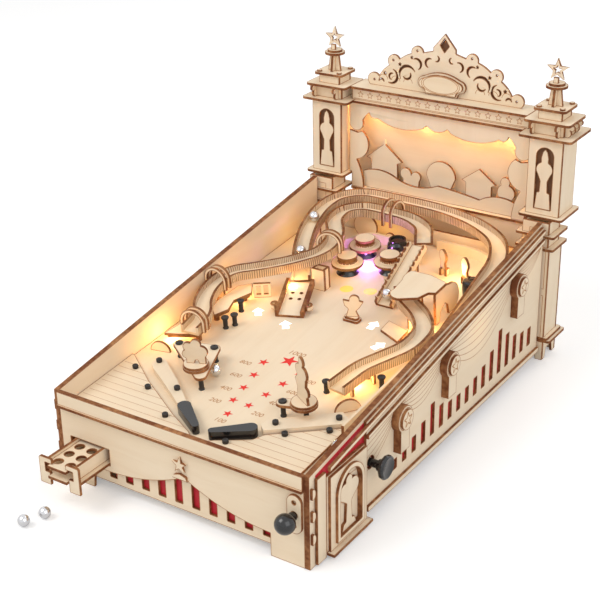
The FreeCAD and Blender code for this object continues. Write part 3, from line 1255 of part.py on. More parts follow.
# Scroll slots in the pediment: across, up, radius, side of the belly and thickness
SCROLLS = ((50.0, 10.0, 6.5, 200, 1.9), (50.0, 10.0, 3.0, 20, 1.3), (35.0, 14.0, 8.0, 60, 2.1),
           (35.0, 13.0, 4.0, -120, 1.4), (26.0, 24.0, 5.0, 150, 1.7), (14.0, 26.5, 4.2, 20, 1.5),
           (7.0, 31.0, 2.6, -160, 1.0), (60.0, 4.5, 2.6, 90, 1.2))
RIM_STARS = ((42.0, 21.5, 1.8), (56.5, 12.0, 1.8), (30.6, 29.0, 1.5))
RIM_PINS = ((67.0, 5.0), (48.5, 24.5), (25.5, 35.5))
STAGE_HALF = 80.0
FLOOR_BOARD_HALF = 83.7
CLOTH_HALF = 86.2


def build_lintel():
    """Star frieze, cornice plates, pediment and sign over the stage."""
    y = STAGE_Y
    low = CORNICE_Z
    high = low + S.cornice_gap
    reach = S.tower_x - 23 - S.clearance
    wide = S.tower_x - 20 - S.clearance
    node("lintel",
         plate("lintel_low", lying(0, 0, low), [rectangle(-reach, y - 4, reach, y + 20)]),
         plate("lintel_high", lying(0, 0, high), [rectangle(-wide, y - 4, wide, y + 22)]))
    node("lintel", plate("star_frieze", facing(0, y, 0), [
        rectangle(-wide, low + S.ply, wide, high)]))
    node("lintel", plate("lintel_back", facing(0, y + 16, 0), [
        rectangle(-wide, low + S.ply, wide, high)]))
    base = high + S.ply
    rise = PEDIMENT_TOP - base
    right = [(71, 0), ("via", 71, 10), (62.5, 8.6), ("via", 58, 15), (52.5, 19.6),
             ("via", 50, 29), (42.6, 26), ("via", 37, 30), (31, 32.5), ("via", 25, 39.5), (20, 34.6),
             (10.5, 37.2), (10.5, 40.5), (0, rise)]
    # Turned round, each bend still sits between the points that it joins
    contour = right + mirrored(right, -1)[::-1][1:]
    cuts = [outline((0, rise - 3.5), (4.4, rise - 10), (0, rise - 16), (-4.4, rise - 10))]
    for side in (-1, 1):
        for x, z, r, turn, thick in SCROLLS:
            cuts.append(crescent(side * x, z, r, turn if side > 0 else 180 - turn, thick))
        for x, z, r in RIM_STARS:
            cuts.append(outline(*star_points(side * x, z, r)))
        for x, z in RIM_PINS:
            cuts.append(circle(side * x, z, 1.7))
    node("pediment", plate("pediment", facing(0, y + 10, base), [outline(*contour)] + cuts))
    node("wood_linings", plate("pediment_backing", facing(0, y + 10 + S.ply, base), [
        outline((66, 0), ("via", 40, 24), (8, 34), (8, 38), (0, rise - 4), (-8, 38), (-8, 34),
                ("via", -40, 24), (-66, 0))]))
    sign = outline((-15, 0), (15, 0), ("via", 17, 4), (20, 5), ("via", 22.5, 10.5), (19, 15), (16, 16),
                   ("via", 0, 20), (-16, 16), (-19, 15), ("via", -22.5, 10.5), (-20, 5),
                   ("via", -17, 4))
    face = outline((-14, 1.6), (14, 1.6), ("via", 16, 5.4), (18.4, 6.4), ("via", 20.4, 10.4), (17.6, 13.6),
                   (15, 14.6), ("via", 0, 18), (-15, 14.6), (-17.6, 13.6), ("via", -20.4, 10.4),
                   (-18.4, 6.4), ("via", -16, 5.4))
    node("sign_plate", plate("sign_plate", facing(-1, y + 10 - S.ply, base), [sign]),
         plate("sign_face", facing(-1, y + 10 - 2 * S.ply, base), [face]))


def build_stage():
    y = STAGE_Y
    floor = STAGE_Z + S.ply
    top = CORNICE_Z
    half = STAGE_HALF
    notch = TOWER_PLATE_Z - S.clearance
    node("stage_frame", plate("stage_ledge", lying(0, 0, STAGE_Z), [rectangle(-half - 4, y - 1, half + 4,
                                                                              y + 16)]))
    edge = [(-CLOTH_HALF, top), (-CLOTH_HALF, top - 21), ("via", -half + 2, top - 26), (-73, top - 16),
            ("via", -70, top - 12), (-66, top - 8), ("via", -62, top - 13), (-58, top - 12),
            ("via", -37, top - 18), (-13, top - 14), (-10, top - 11), ("via", 0, top - 15),
            (10, top - 11), (13, top - 14), ("via", 37, top - 18), (58, top - 12),
            ("via", 62, top - 13), (66, top - 8), ("via", 70, top - 12), (73, top - 16),
            ("via", half - 2, top - 26), (CLOTH_HALF, top - 21), (CLOTH_HALF, top)]
    node("stage_curtains", plate("valance", facing(0, y, 0), [outline(*edge)]))
    curtains = []
    for side in (-1, 1):
        cloth = [(half - 8, floor), (half + 3.9, floor), (half + 3.9, notch + 2 * S.clearance + S.ply),
                 (CLOTH_HALF, notch + 2 * S.clearance + S.ply), (CLOTH_HALF, top - 26.5),
                 (half - 2, top - 28),
                 (half - 7, top - 26), ("via", half - 6, floor + 28), (half - 1, floor + 26),
                 ("via", half - 6, floor + 14)]
        points = mirrored(cloth, side)
        curtains.append(plate("curtain_%d" % (side + 1), facing(0, y, 0), [outline(*points)]))
    node("stage_curtains", *curtains)
    hills = outline((-half + 6, floor), (half - 6, floor), (half - 6, floor + 12), ("via", 58, floor + 15),
                    (40, floor + 9), ("via", 20, floor + 12), (0, floor + 14), ("via", -22, floor + 9),
                    (-40, floor + 13), ("via", -58, floor + 18), (-half + 6, floor + 15))
    node("stage_scene", plate("scene_front", facing(0, y + 2 * S.ply, 0), [hills]))
    tent = outline((-68, floor), (-40, floor), (-41, floor + 26), (-36, floor + 28), (-53, floor + 42),
                   (-54, floor + 48), (-55, floor + 42), (-72, floor + 28), (-67, floor + 26))
    wheel = outline((-12, floor + 22), ("via", 2, floor + 36), (16, floor + 22), ("via", 12, floor + 12),
                    (9, floor), (-5, floor), ("via", -8, floor + 12))
    house = outline((26, floor), (50, floor), (50, floor + 22), (54, floor + 24), (38, floor + 36),
                    (22, floor + 24), (26, floor + 22))
    tree = outline((60, floor), (65, floor), (65, floor + 12), ("via", 71.5, floor + 20), (66, floor + 26),
                   ("via", 62.5, floor + 33), (59, floor + 26), ("via", 55.5, floor + 20), (60, floor + 12))
    bush = outline((-34, floor), (-20, floor), (-19, floor + 14), ("via", -23, floor + 22), (-27, floor + 18),
                   ("via", -31, floor + 24), (-35, floor + 14))
    for name, shape in (("tent", tent), ("wheel", wheel), ("house", house), ("tree", tree), ("bush", bush)):
        node("stage_scene", plate("scene_" + name, facing(0, y + 3 * S.ply, 0), [shape]))
    seam = notch + 2 * S.clearance + S.ply
    wide = CLOTH_HALF
    slim = half + 3.9
    node("scene_back", plate("scene_back", facing(0, y + 6 * S.ply, 0), [
        outline((-slim, floor), (slim, floor), (slim, seam), (wide, seam), (wide, top), (-wide, top),
                (-wide, seam), (-slim, seam))]))
    node("stage_frame", plate("stage_floor_board", facing(0, y + 1, 0), [
        rectangle(-FLOOR_BOARD_HALF, S.floor_gap, FLOOR_BOARD_HALF, STAGE_Z)]))


# Balls in play: across, up the slope and height of the floor that carries each
PLAYED_BALLS = ((-31.8, 92.3, 0.0), (99.0, 54.0, 0.0))
TRACK_BALLS = ((0, 0.94), (2, 0.5))
SPINE_BALL = 8.5
BALL_LIFT = 0.3


def build_balls():
    loose = []
    r = S.ball_dia / 2
    front = r - S.reach_front
    for k, (x, y) in enumerate(((-88.2, front), (-82.3, front + 15.4))):
        loose.append(ball("loose_ball_%d" % k, at(x, y, r), "Sizes.ball_dia"))
    node("steel_balls", *loose)
    played = []
    places = [Vector(*place) for place in PLAYED_BALLS]
    for k, share in TRACK_BALLS:
        first = Vector(*ORBIT_ROUTE[k])
        last = Vector(*ORBIT_ROUTE[k + 1])
        places.append(first + (last - first) * share + Vector(0, 0, BALL_LIFT))
    slant = math.atan2(SPINE_RISE, SPINE_TOP - SPINE_FOOT)
    lift = S.ply + r + BALL_LIFT
    places.append(Vector(SPINE_X, SPINE_FOOT + SPINE_BALL * math.cos(slant) - lift * math.sin(slant),
                         SPINE_BALL * math.sin(slant) + lift * math.cos(slant) - r))
    for k, place in enumerate(places):
        played.append(ball("played_ball_%d" % k, on_board(place.x, place.y, place.z + r), "Sizes.ball_dia"))
    node("steel_balls", *played)


def check_and_write():
    kept = {}
    for name, pieces in nodes.items():
        if len(pieces) == 1:
            kept[name] = pieces[0]
            kept[name].Label = name
            continue
        kept[name] = doc.addObject("Part::Compound", name + "_set")
        kept[name].Links = pieces
        kept[name].Label = name
    doc.recompute()
    faulty = [o.Name for o in doc.Objects if "Invalid" in o.State or "Error" in o.State]
    if faulty:
        raise RuntimeError("not built: %s" % faulty)
    os.makedirs("parts", exist_ok=True)
    for name, piece in kept.items():
        shape = piece.Shape
        if shape.isNull() or not shape.isValid():
            raise RuntimeError("bad shape: " + name)
        shape.exportStep("parts/%s.step" % name)
    print("%d pieces in %d files" % (sum(len(n.Shape.Solids) for n in kept.values()), len(kept)))


build_cabinet()
build_front()
for side, name in ((-1, "left"), (1, "right")):
    build_side(side, name)
    build_niche(side, name)
build_films()
build_playfield()
build_guides()
build_slings()
build_bumpers()
build_tracks()
build_entry_ramp()
build_decks()
build_spine()
build_lane()
build_scenery()
for side, name in ((-1, "left"), (1, "right")):
    build_flipper(side, name)
    build_button(side, name)
    build_tower(side, name)
build_drawer()
build_plunger()
build_lintel()
build_stage()
build_balls()
check_and_write()
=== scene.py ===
import math

import bmesh
import bpy
import numpy as np
from bpy.props import FloatProperty, FloatVectorProperty, PointerProperty
from mathutils import Matrix, Vector
from mathutils.bvhtree import BVHTree
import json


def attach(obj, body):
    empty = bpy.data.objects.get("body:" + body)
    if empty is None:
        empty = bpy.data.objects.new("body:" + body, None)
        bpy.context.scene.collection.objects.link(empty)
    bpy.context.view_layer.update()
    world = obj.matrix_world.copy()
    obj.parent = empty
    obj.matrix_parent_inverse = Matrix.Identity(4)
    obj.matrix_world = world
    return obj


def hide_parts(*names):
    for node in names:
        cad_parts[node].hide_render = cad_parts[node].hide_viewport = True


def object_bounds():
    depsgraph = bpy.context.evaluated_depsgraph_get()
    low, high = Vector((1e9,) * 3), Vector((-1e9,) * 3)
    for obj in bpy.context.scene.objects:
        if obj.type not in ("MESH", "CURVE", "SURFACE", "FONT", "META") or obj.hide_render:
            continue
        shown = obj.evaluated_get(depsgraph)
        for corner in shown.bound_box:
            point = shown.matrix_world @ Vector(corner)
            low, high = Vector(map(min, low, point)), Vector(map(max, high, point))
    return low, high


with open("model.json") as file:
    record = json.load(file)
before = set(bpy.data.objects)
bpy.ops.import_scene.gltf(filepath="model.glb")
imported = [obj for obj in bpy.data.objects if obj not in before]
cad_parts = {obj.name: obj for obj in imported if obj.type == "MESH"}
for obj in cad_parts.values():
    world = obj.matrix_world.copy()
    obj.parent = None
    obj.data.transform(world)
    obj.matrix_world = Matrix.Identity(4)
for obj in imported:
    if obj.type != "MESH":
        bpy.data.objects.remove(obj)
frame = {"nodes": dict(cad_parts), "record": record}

bl_info = {
    "name": "Tabletop Bagatelle",
    "version": (1, 0, 0),
    "blender": (4, 5, 0),
    "location": "View3D > Sidebar > Bagatelle",
    "description": "Dresses a plywood bagatelle game: sheets, tracks, posts, prints, lamps and balls",
    "category": "Object",
}

START_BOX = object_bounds()
MM = 0.001

# Sizes of the cabinet, in millimetres from the middle plane, the front plane and the table
FRONT = -165.75
BOARD_FRONT = 56.6
BOARD_ANGLE = math.radians(4.53)
HALF = 110.0
WALL_FRONT = 73.0
WALL_BACK = 124.0
WALL_LENGTH = 351.0

# Warm pools on the wood, and the small lamps of the stage and of the board: across, behind the front,
# above the table. The violet lamp stands between the bumpers: across, up the slope, above the board
TRACK_LAMPS = ((-92, 122, 72), (-97, 96, 70), (-62, 205, 78), (-70, 178, 78), (-20, 262, 84),
               (60, 300, 90), (40, 330, 92), (95, 236, 82), (80, 150, 76), (62, 118, 72), (-96, 300, 90),
               (-30, 350, 92), (84, 330, 95))
STAGE_LAMPS = ((-58, 382, 184), (-14, 382, 184), (30, 382, 184), (66, 382, 184))
BOARD_LAMPS = ((-92, 118, 70), (-84, 196, 76), (-48, 222, 82), (66, 128, 70), (74, 215, 80), (64, 300, 92))
BUMPER_LAMP = (-17.8, 292.0, 5.0)

# Middle lines of the three ball tracks: across, up the slope, above the board
ROUTES = (
    ((-46.8, 233.9, 7.9), (-64.5, 262, 14.5), (-75, 290, 21.5), (-79, 317, 26.5), (-76, 341, 28.5),
     (-58, 356.5, 29), (-15, 357.5, 28.6), (22, 357.5, 27.5), (54, 350.5, 25.8), (82, 334, 24),
     (95.5, 306, 22), (97.6, 274, 18.5), (97.6, 214, 2.6)),
    ((29, 304, 27), (20, 322, 27), (0, 334, 26.8), (-31, 337, 26.4), (-48, 337, 26), (-60.5, 326, 25.3),
     (-59.5, 306, 24.8), (-42, 284, 24), (-37, 256, 22.6), (-56, 232, 20), (-74, 214, 19.2),
     (-94, 199, 18), (-95, 174, 15.8), (-88.5, 154.5, 13.9), (-77, 139.5, 12.8), (-75, 119, 11.8)),
    ((44, 243, 16.2), (54, 229, 15.6), (75, 214, 15), (88.5, 197, 14.2), (89, 170, 13.2),
     (79, 149, 12.4), (71, 132, 11.8), (67, 104, 10.6)),
)
MEDALLIONS = (112.0, 183.0, 299.0)


def colour_prop(name, value, text):
    return FloatVectorProperty(name=name, default=value, size=3, min=0.0, max=1.0, subtype="COLOR",
                               description=text)


class BagatelleColours(bpy.types.PropertyGroup):
    birch: colour_prop("Birch", (0.90, 0.745, 0.55), "Pale face of the plywood")
    birch_grain: colour_prop("Birch grain", (0.78, 0.58, 0.37), "Darker lines of the plywood face")
    burnt: colour_prop("Burnt edge", (0.17, 0.052, 0.018), "Edge that the laser has browned")
    burnt_light: colour_prop("Light edge", (0.44, 0.20, 0.080), "Core layer seen in a cut edge")
    scarlet: colour_prop("Scarlet", (0.55, 0.006, 0.020), "Backing seen through the slots")
    star: colour_prop("Star", (0.80, 0.020, 0.012), "Printed stars")
    ink: colour_prop("Ink", (0.50, 0.22, 0.07), "Engraved lines and numbers")
    glow: colour_prop("Lamp glow", (1.0, 0.50, 0.10), "Warm light of the small lamps")


class BagatelleSizes(bpy.types.PropertyGroup):
    line_width: FloatProperty(name="Engraved line", default=0.00045, min=0.0001, max=0.002,
                              subtype="DISTANCE", description="Width of an engraved line")
    print_lift: FloatProperty(name="Print lift", default=0.00006, min=0.00001, max=0.001,
                              subtype="DISTANCE", description="Height of a print above its sheet")
    post_radius: FloatProperty(name="Post", default=0.0031, min=0.001, max=0.006,
                               subtype="DISTANCE", description="Radius of a rubber post cap")
    lamp_strength: FloatProperty(name="Lamp strength", default=1.0, min=0.0, max=10.0,
                                 description="Brightness of the small lamps")


def colours():
    return bpy.context.scene.bagatelle_colours


def sizes():
    return bpy.context.scene.bagatelle_sizes


# Places

def world_point(x, y, z):
    """Metres in the frame, from millimetres counted from the middle, the front plane and the table."""
    return Vector((x * MM, (FRONT + y) * MM, z * MM))


def board_matrix(x=0.0, s=0.0, h=0.0, turn=0.0):
    """Place on the playfield: across, up the slope, above its surface, all in millimetres."""
    slope = Matrix.Translation(world_point(0, 0, BOARD_FRONT)) @ Matrix.Rotation(BOARD_ANGLE, 4, "X")
    return slope @ Matrix.Translation(Vector((x, s, h)) * MM) @ Matrix.Rotation(math.radians(turn), 4, "Z")


def wall_matrix(side, out):
    """Outer face of a side wall, drawn with the depth to the right on the right-hand side."""
    x = side * (HALF + out)
    turn = Matrix(((0, 0, 1, 0), (1, 0, 0, 0), (0, 1, 0, 0), (0, 0, 0, 1)))
    if side < 0:
        turn = Matrix(((0, 0, -1, 0), (1, 0, 0, 0), (0, 1, 0, 0), (0, 0, 0, 1)))
    return Matrix.Translation(world_point(x, 0, 0)) @ turn


def front_matrix(y, x=0.0, z=0.0):
    """Sheet that faces the player: drawn as seen from the front, its face at depth y."""
    return Matrix.Translation(world_point(x, y, z)) @ Matrix.Rotation(math.radians(90), 4, "X")


# Materials

def socket(nodes, links, kind, inputs, **settings):
    """Adds a node, sets its fields and joins or fills its inputs."""
    node = nodes.new(kind)
    for key, value in settings.items():
        setattr(node, key, value)
    for key, value in inputs.items():
        target = node.inputs[key]
        if isinstance(value, bpy.types.NodeSocket):
            links.new(value, target)
        else:
            target.default_value = value
    return node


def reckon(nodes, links, operation, *values, clamp=False):
    """Result of one operation on numbers or outputs."""
    return socket(nodes, links, "ShaderNodeMath", dict(enumerate(values)), operation=operation,
                  use_clamp=clamp).outputs[0]


def ranged(nodes, links, value, low, high, start=0.0, end=1.0):
    """Value mapped from low and high to start and end."""
    return socket(nodes, links, "ShaderNodeMapRange", {"Value": value, "From Min": low, "From Max": high,
                                                       "To Min": start, "To Max": end}).outputs[0]


def mixed(nodes, links, factor, a, b):
    """Colour between a and b."""
    return socket(nodes, links, "ShaderNodeMix", {"Factor": factor, "A": a, "B": b},
                  data_type="RGBA").outputs["Result"]


def noisy(nodes, links, where, scale, **more):
    return socket(nodes, links, "ShaderNodeTexNoise", {"Vector": where, "Scale": scale, **more}).outputs[0]


def relief(nodes, links, shader, height, strength, distance):
    bump = socket(nodes, links, "ShaderNodeBump", {"Height": height, "Strength": strength,
                                                   "Distance": distance})
    links.new(bump.outputs[0], shader.inputs["Normal"])


def new_group(name, inputs, outputs):
    group = bpy.data.node_groups.new(name, "ShaderNodeTree")
    for label, kind, value in inputs:
        item = group.interface.new_socket(name=label, in_out="INPUT", socket_type=kind)
        item.default_value = value
    for label, kind in outputs:
        group.interface.new_socket(name=label, in_out="OUTPUT", socket_type=kind)
    source = group.nodes.new("NodeGroupInput")
    sink = group.nodes.new("NodeGroupOutput")
    return group, source, sink


def grain_group():
    """Plywood face: long pale waves along one axis, fine pores and a faint cloudiness."""
    name = "Plywood Face"
    if name in bpy.data.node_groups:
        return bpy.data.node_groups[name]
    group, source, sink = new_group(name, (
        ("Pale", "NodeSocketColor", (0.8, 0.6, 0.4, 1)), ("Dark", "NodeSocketColor", (0.6, 0.4, 0.2, 1)),
        ("Stretch", "NodeSocketVector", (60, 6, 60)), ("Strength", "NodeSocketFloat", 0.35)),
        (("Color", "NodeSocketColor"), ("Roughness", "NodeSocketFloat"), ("Height", "NodeSocketFloat")))
    nodes, links = group.nodes, group.links
    where = nodes.new("ShaderNodeTexCoord").outputs["Object"]
    scaled = socket(nodes, links, "ShaderNodeVectorMath", {0: where, 1: source.outputs["Stretch"]},
                    operation="MULTIPLY").outputs[0]
    waves = noisy(nodes, links, scaled, 1.0, Detail=4.0, Roughness=0.55, Distortion=0.6)
    fine = socket(nodes, links, "ShaderNodeVectorMath", {0: scaled, 1: (7, 7, 7)}, operation="MULTIPLY")
    pores = noisy(nodes, links, fine.outputs[0], 1.0, Detail=3.0, Roughness=0.7)
    cloud = noisy(nodes, links, where, 18.0, Detail=2.0)
    line = ranged(nodes, links, waves, 0.42, 0.72)
    speck = ranged(nodes, links, pores, 0.55, 0.80, end=0.5)
    shade = ranged(nodes, links, cloud, 0.35, 0.70, end=0.35)
    total = reckon(nodes, links, "ADD", reckon(nodes, links, "ADD", line, speck), shade)
    amount = reckon(nodes, links, "MULTIPLY", total, source.outputs["Strength"], clamp=True)
    colour = mixed(nodes, links, amount, source.outputs["Pale"], source.outputs["Dark"])
    links.new(colour, sink.inputs["Color"])
    links.new(ranged(nodes, links, pores, 0.0, 1.0, 0.52, 0.72), sink.inputs["Roughness"])
    links.new(total, sink.inputs["Height"])
    return group


def glow_group():
    """Pools of warm light: for each lamp, one minus distance over reach, to the power 2.2, summed."""
    name = "Lamp Pools"
    if name in bpy.data.node_groups:
        return bpy.data.node_groups[name]
    group, source, sink = new_group(name, (
        ("Reach", "NodeSocketFloat", 0.03), ("Strength", "NodeSocketFloat", 0.5)),
        (("Color", "NodeSocketColor"),))
    nodes, links = group.nodes, group.links
    where = nodes.new("ShaderNodeTexCoord").outputs["Object"]
    total = 0.0
    for x, y, z in TRACK_LAMPS:
        away = socket(nodes, links, "ShaderNodeVectorMath", {0: where, 1: tuple(world_point(x, y, z))},
                      operation="DISTANCE").outputs["Value"]
        near = reckon(nodes, links, "DIVIDE", away, source.outputs["Reach"])
        near = reckon(nodes, links, "SUBTRACT", 1.0, near, clamp=True)
        near = reckon(nodes, links, "POWER", near, 2.2)
        total = reckon(nodes, links, "ADD", total, near)
    total = reckon(nodes, links, "MULTIPLY", total, source.outputs["Strength"])
    tint = tuple(colours().glow) + (1,)
    mix = socket(nodes, links, "ShaderNodeMix", {"Factor": total, "A": (0, 0, 0, 1), "B": tint},
                 data_type="RGBA")
    mix.clamp_factor = True
    links.new(mix.outputs["Result"], sink.inputs["Color"])
    return group


def material(name, build):
    """A named material, made once by a builder that gets its shader, nodes and links."""
    found = bpy.data.materials.get(name)
    if found:
        return found
    made = bpy.data.materials.new(name)
    made.use_nodes = True
    nodes, links = made.node_tree.nodes, made.node_tree.links
    build(nodes["Principled BSDF"], nodes, links)
    return made


def rgba(colour, k=1.0):
    return tuple(min(1.0, c * k) for c in colour) + (1.0,)


def place_group(nodes, group, **values):
    node = nodes.new("ShaderNodeGroup")
    node.node_tree = group
    for key, value in values.items():
        node.inputs[key].default_value = value
    return node


GRAINS = {"deep": (70, 7, 70), "across": (7, 70, 70), "tall": (70, 70, 7)}


def birch(grain="deep"):
    """Plywood face with its grain along the depth, the width or the height."""
    def build(shader, nodes, links):
        tones = colours()
        face = place_group(nodes, grain_group(), Pale=rgba(tones.birch), Dark=rgba(tones.birch_grain),
                           Stretch=GRAINS[grain], Strength=0.33)
        links.new(face.outputs["Color"], shader.inputs["Base Color"])
        links.new(face.outputs["Roughness"], shader.inputs["Roughness"])
        relief(nodes, links, shader, face.outputs["Height"], 0.06, 0.0002)
        pools = place_group(nodes, glow_group(), Reach=0.045, Strength=0.9)
        links.new(pools.outputs["Color"], shader.inputs["Emission Color"])
        shader.inputs["Emission Strength"].default_value = 0.55
        shader.inputs["Specular IOR Level"].default_value = 0.25
    return material("birch_" + grain, build)


def burnt_edge():
    """Laser-cut edge: dark brown with lighter core streaks and soot."""
    def build(shader, nodes, links):
        tones = colours()
        where = nodes.new("ShaderNodeTexCoord").outputs["Object"]
        streak = noisy(nodes, links, where, 260.0, Detail=3.0)
        patch = noisy(nodes, links, where, 45.0, Detail=2.0)
        both = reckon(nodes, links, "MULTIPLY", streak, patch)
        colour = mixed(nodes, links, ranged(nodes, links, both, 0.16, 0.42), rgba(tones.burnt),
                       rgba(tones.burnt_light))
        links.new(colour, shader.inputs["Base Color"])
        shader.inputs["Roughness"].default_value = 0.75
        relief(nodes, links, shader, streak, 0.2, 0.0003)
        pools = place_group(nodes, glow_group(), Reach=0.04, Strength=0.5)
        links.new(pools.outputs["Color"], shader.inputs["Emission Color"])
        shader.inputs["Emission Strength"].default_value = 0.25
        shader.inputs["Specular IOR Level"].default_value = 0.2
    return material("burnt_edge", build)


def kerfed_side():
    """Curb side bent by laser kerfs: a dark line every 1.7 mm of the attribute that runs along a track."""
    def build(shader, nodes, links):
        tones = colours()
        along = nodes.new("ShaderNodeAttribute")
        along.attribute_name = "along"
        turn = reckon(nodes, links, "DIVIDE", along.outputs["Fac"], 1.7 * MM)
        line = ranged(nodes, links, reckon(nodes, links, "FRACT", turn), 0.24, 0.36, 1.0, 0.0)
        face = place_group(nodes, grain_group(), Pale=rgba(tones.birch_grain), Dark=rgba(tones.burnt_light),
                           Stretch=GRAINS["deep"], Strength=0.5)
        colour = mixed(nodes, links, line, face.outputs["Color"], rgba(tones.burnt))
        links.new(colour, shader.inputs["Base Color"])
        links.new(face.outputs["Roughness"], shader.inputs["Roughness"])
        pools = place_group(nodes, glow_group(), Reach=0.045, Strength=0.9)
        links.new(pools.outputs["Color"], shader.inputs["Emission Color"])
        shader.inputs["Emission Strength"].default_value = 0.4
    return material("kerfed_side", build)


def coated(name, colour, rough, speck=0.15, scale=400.0, metallic=0.0, coat=0.0):
    """Moulded or painted finish: one colour with a fine mottle in tone and gloss."""
    def build(shader, nodes, links):
        where = nodes.new("ShaderNodeTexCoord").outputs["Object"]
        noise = noisy(nodes, links, where, scale, Detail=3.0)
        tone = mixed(nodes, links, noise, rgba(colour, 1 - speck), rgba(colour, 1 + speck))
        links.new(tone, shader.inputs["Base Color"])
        gloss = ranged(nodes, links, noise, 0.0, 1.0, max(0.02, rough - 0.06), rough + 0.06)
        links.new(gloss, shader.inputs["Roughness"])
        relief(nodes, links, shader, noise, 0.05, 0.0001)
        shader.inputs["Metallic"].default_value = metallic
        shader.inputs["Coat Weight"].default_value = coat
    return material(name, build)


def lit(name, colour, strength):
    """Lamp or lit inlay: it shines evenly, a little brighter at its grainy core."""
    def build(shader, nodes, links):
        where = nodes.new("ShaderNodeTexCoord").outputs["Object"]
        tone = mixed(nodes, links, noisy(nodes, links, where, 300.0), rgba(colour, 0.9), rgba(colour))
        links.new(tone, shader.inputs["Base Color"])
        links.new(tone, shader.inputs["Emission Color"])
        shader.inputs["Emission Strength"].default_value = strength
        shader.inputs["Roughness"].default_value = 0.4
    return material(name, build)


def scarlet_film():
    return coated("scarlet_film", colours().scarlet, 0.5, 0.1)


def browned():
    return coated("browned_fringe", colours().burnt_light, 0.7, 0.35, 300.0)


def stained_wood():
    return coated("stained_wood", (0.16, 0.065, 0.024), 0.6, 0.3, 90.0)


def black_gloss():
    return coated("black_gloss", (0.012, 0.012, 0.013), 0.22, 0.2, coat=0.3)


def black_rubber():
    return coated("black_rubber", (0.018, 0.014, 0.012), 0.55, 0.3)


def polished_steel():
    return coated("polished_steel", (0.72, 0.72, 0.74), 0.07, 0.03, metallic=1.0)


# Meshes

def add_piece(name, mesh, materials, body, slot, *replaced):
    """Links a finished mesh and gives it its materials and body; the slot argument is not used."""
    piece = bpy.data.objects.new(name, mesh)
    bpy.context.scene.collection.objects.link(piece)
    for made in materials:
        mesh.materials.append(made)
    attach(piece, body)
    if replaced:
        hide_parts(*replaced)
    return piece


def got(items, key, width=1):
    """One property of many mesh items as rows of an array."""
    kind = np.float32 if width > 1 else np.int32
    values = np.empty(len(items) * width, kind)
    items.foreach_get(key, values)
    return values.reshape(-1, width) if width > 1 else values


def mesh_from(name, points, faces, smooth=False, picks=None):
    mesh = bpy.data.meshes.new(name)
    mesh.from_pydata(np.asarray(points).tolist(), [], [list(f) for f in faces])
    mesh.update()
    if smooth:
        mesh.shade_smooth()
    if picks is not None:
        mesh.polygons.foreach_set("material_index", np.asarray(picks, dtype=np.int32))
    return mesh


def grid_faces(rows, columns, start=0, wrap=True):
    """Quads of a grid of points in rows; each row closes on itself when it wraps."""
    count = columns if wrap else columns - 1
    i, j = np.meshgrid(np.arange(rows - 1), np.arange(count), indexing="ij")
    k = (j + 1) % columns
    quads = np.stack((i * columns + j, i * columns + k, (i + 1) * columns + k, (i + 1) * columns + j), -1)
    return quads.reshape(-1, 4) + start


def lathe(profile, place, steps=48):
    """Surface of revolution: (r cos a, r sin a, z) for the profile's (r, z) in millimetres, set in place.

    The ends that lie on the axis are closed by fans of thin quads."""
    profile = np.array(profile, float)
    profile[:, 0] = np.maximum(profile[:, 0], 1e-4)
    angle = np.linspace(0, 2 * np.pi, steps, endpoint=False)
    r = profile[:, :1]
    points = np.stack((r * np.cos(angle), r * np.sin(angle), np.repeat(profile[:, 1:], steps, 1)), -1)
    points = points.reshape(-1, 3) * MM
    return moved(points, place), grid_faces(len(profile), steps)


def moved(points, place):
    matrix = np.array(place)
    return np.asarray(points) @ matrix[:3, :3].T + matrix[:3, 3]


class Heap:
    """Gathers many small meshes into one, each with its own material number."""

    def __init__(self):
        self.points = []
        self.faces = []
        self.picks = []
        self.count = 0

    def add(self, points, faces, pick=0):
        self.points.append(np.asarray(points))
        self.faces += [[int(k) + self.count for k in face] for face in faces]
        self.picks += [pick] * len(faces)
        self.count += len(points)

    def mesh(self, name, smooth=True, angle=30.0):
        mesh = mesh_from(name, np.concatenate(self.points), self.faces, smooth, self.picks)
        tidy = bmesh.new()
        tidy.from_mesh(mesh)
        bmesh.ops.remove_doubles(tidy, verts=tidy.verts, dist=2e-7)
        bmesh.ops.dissolve_degenerate(tidy, edges=tidy.edges, dist=1e-7)
        bmesh.ops.recalc_face_normals(tidy, faces=tidy.faces)
        tidy.to_mesh(mesh)
        tidy.free()
        if smooth:
            mesh.set_sharp_from_angle(angle=math.radians(angle))
        return mesh


def ribbon(points, width, place, closed=False):
    """Flat line of a width along points (x, y) in millimetres: each point moves half a width sideways."""
    p = np.array(points, float)
    ahead = np.roll(p, -1, 0) - p
    back = p - np.roll(p, 1, 0)
    if not closed:
        ahead[-1] = back[-1]
        back[0] = ahead[0]
    along = ahead / np.maximum(np.linalg.norm(ahead, axis=1)[:, None], 1e-9)
    along = along + back / np.maximum(np.linalg.norm(back, axis=1)[:, None], 1e-9)
    along /= np.maximum(np.linalg.norm(along, axis=1)[:, None], 1e-9)
    side = np.stack((-along[:, 1], along[:, 0]), 1) * width / 2
    both = np.concatenate((p - side, p + side))
    n = len(p)
    last = n if closed else n - 1
    faces = [(k, (k + 1) % n, n + (k + 1) % n, n + k) for k in range(last)]
    flat = np.concatenate((both, np.zeros((2 * n, 1))), 1) * MM
    return moved(flat, place), faces


def arc(cx, cy, r, start, end, steps=20):
    a = np.radians(np.linspace(start, end, steps))
    return np.stack((cx + r * np.cos(a), cy + r * np.sin(a)), 1)


def star_ring(cx, cy, r, inner=0.4, turn=90.0):
    a = np.radians(turn + 36 * np.arange(10))
    k = np.where(np.arange(10) % 2 == 0, r, r * inner)
    return np.stack((cx + k * np.cos(a), cy + k * np.sin(a)), 1)


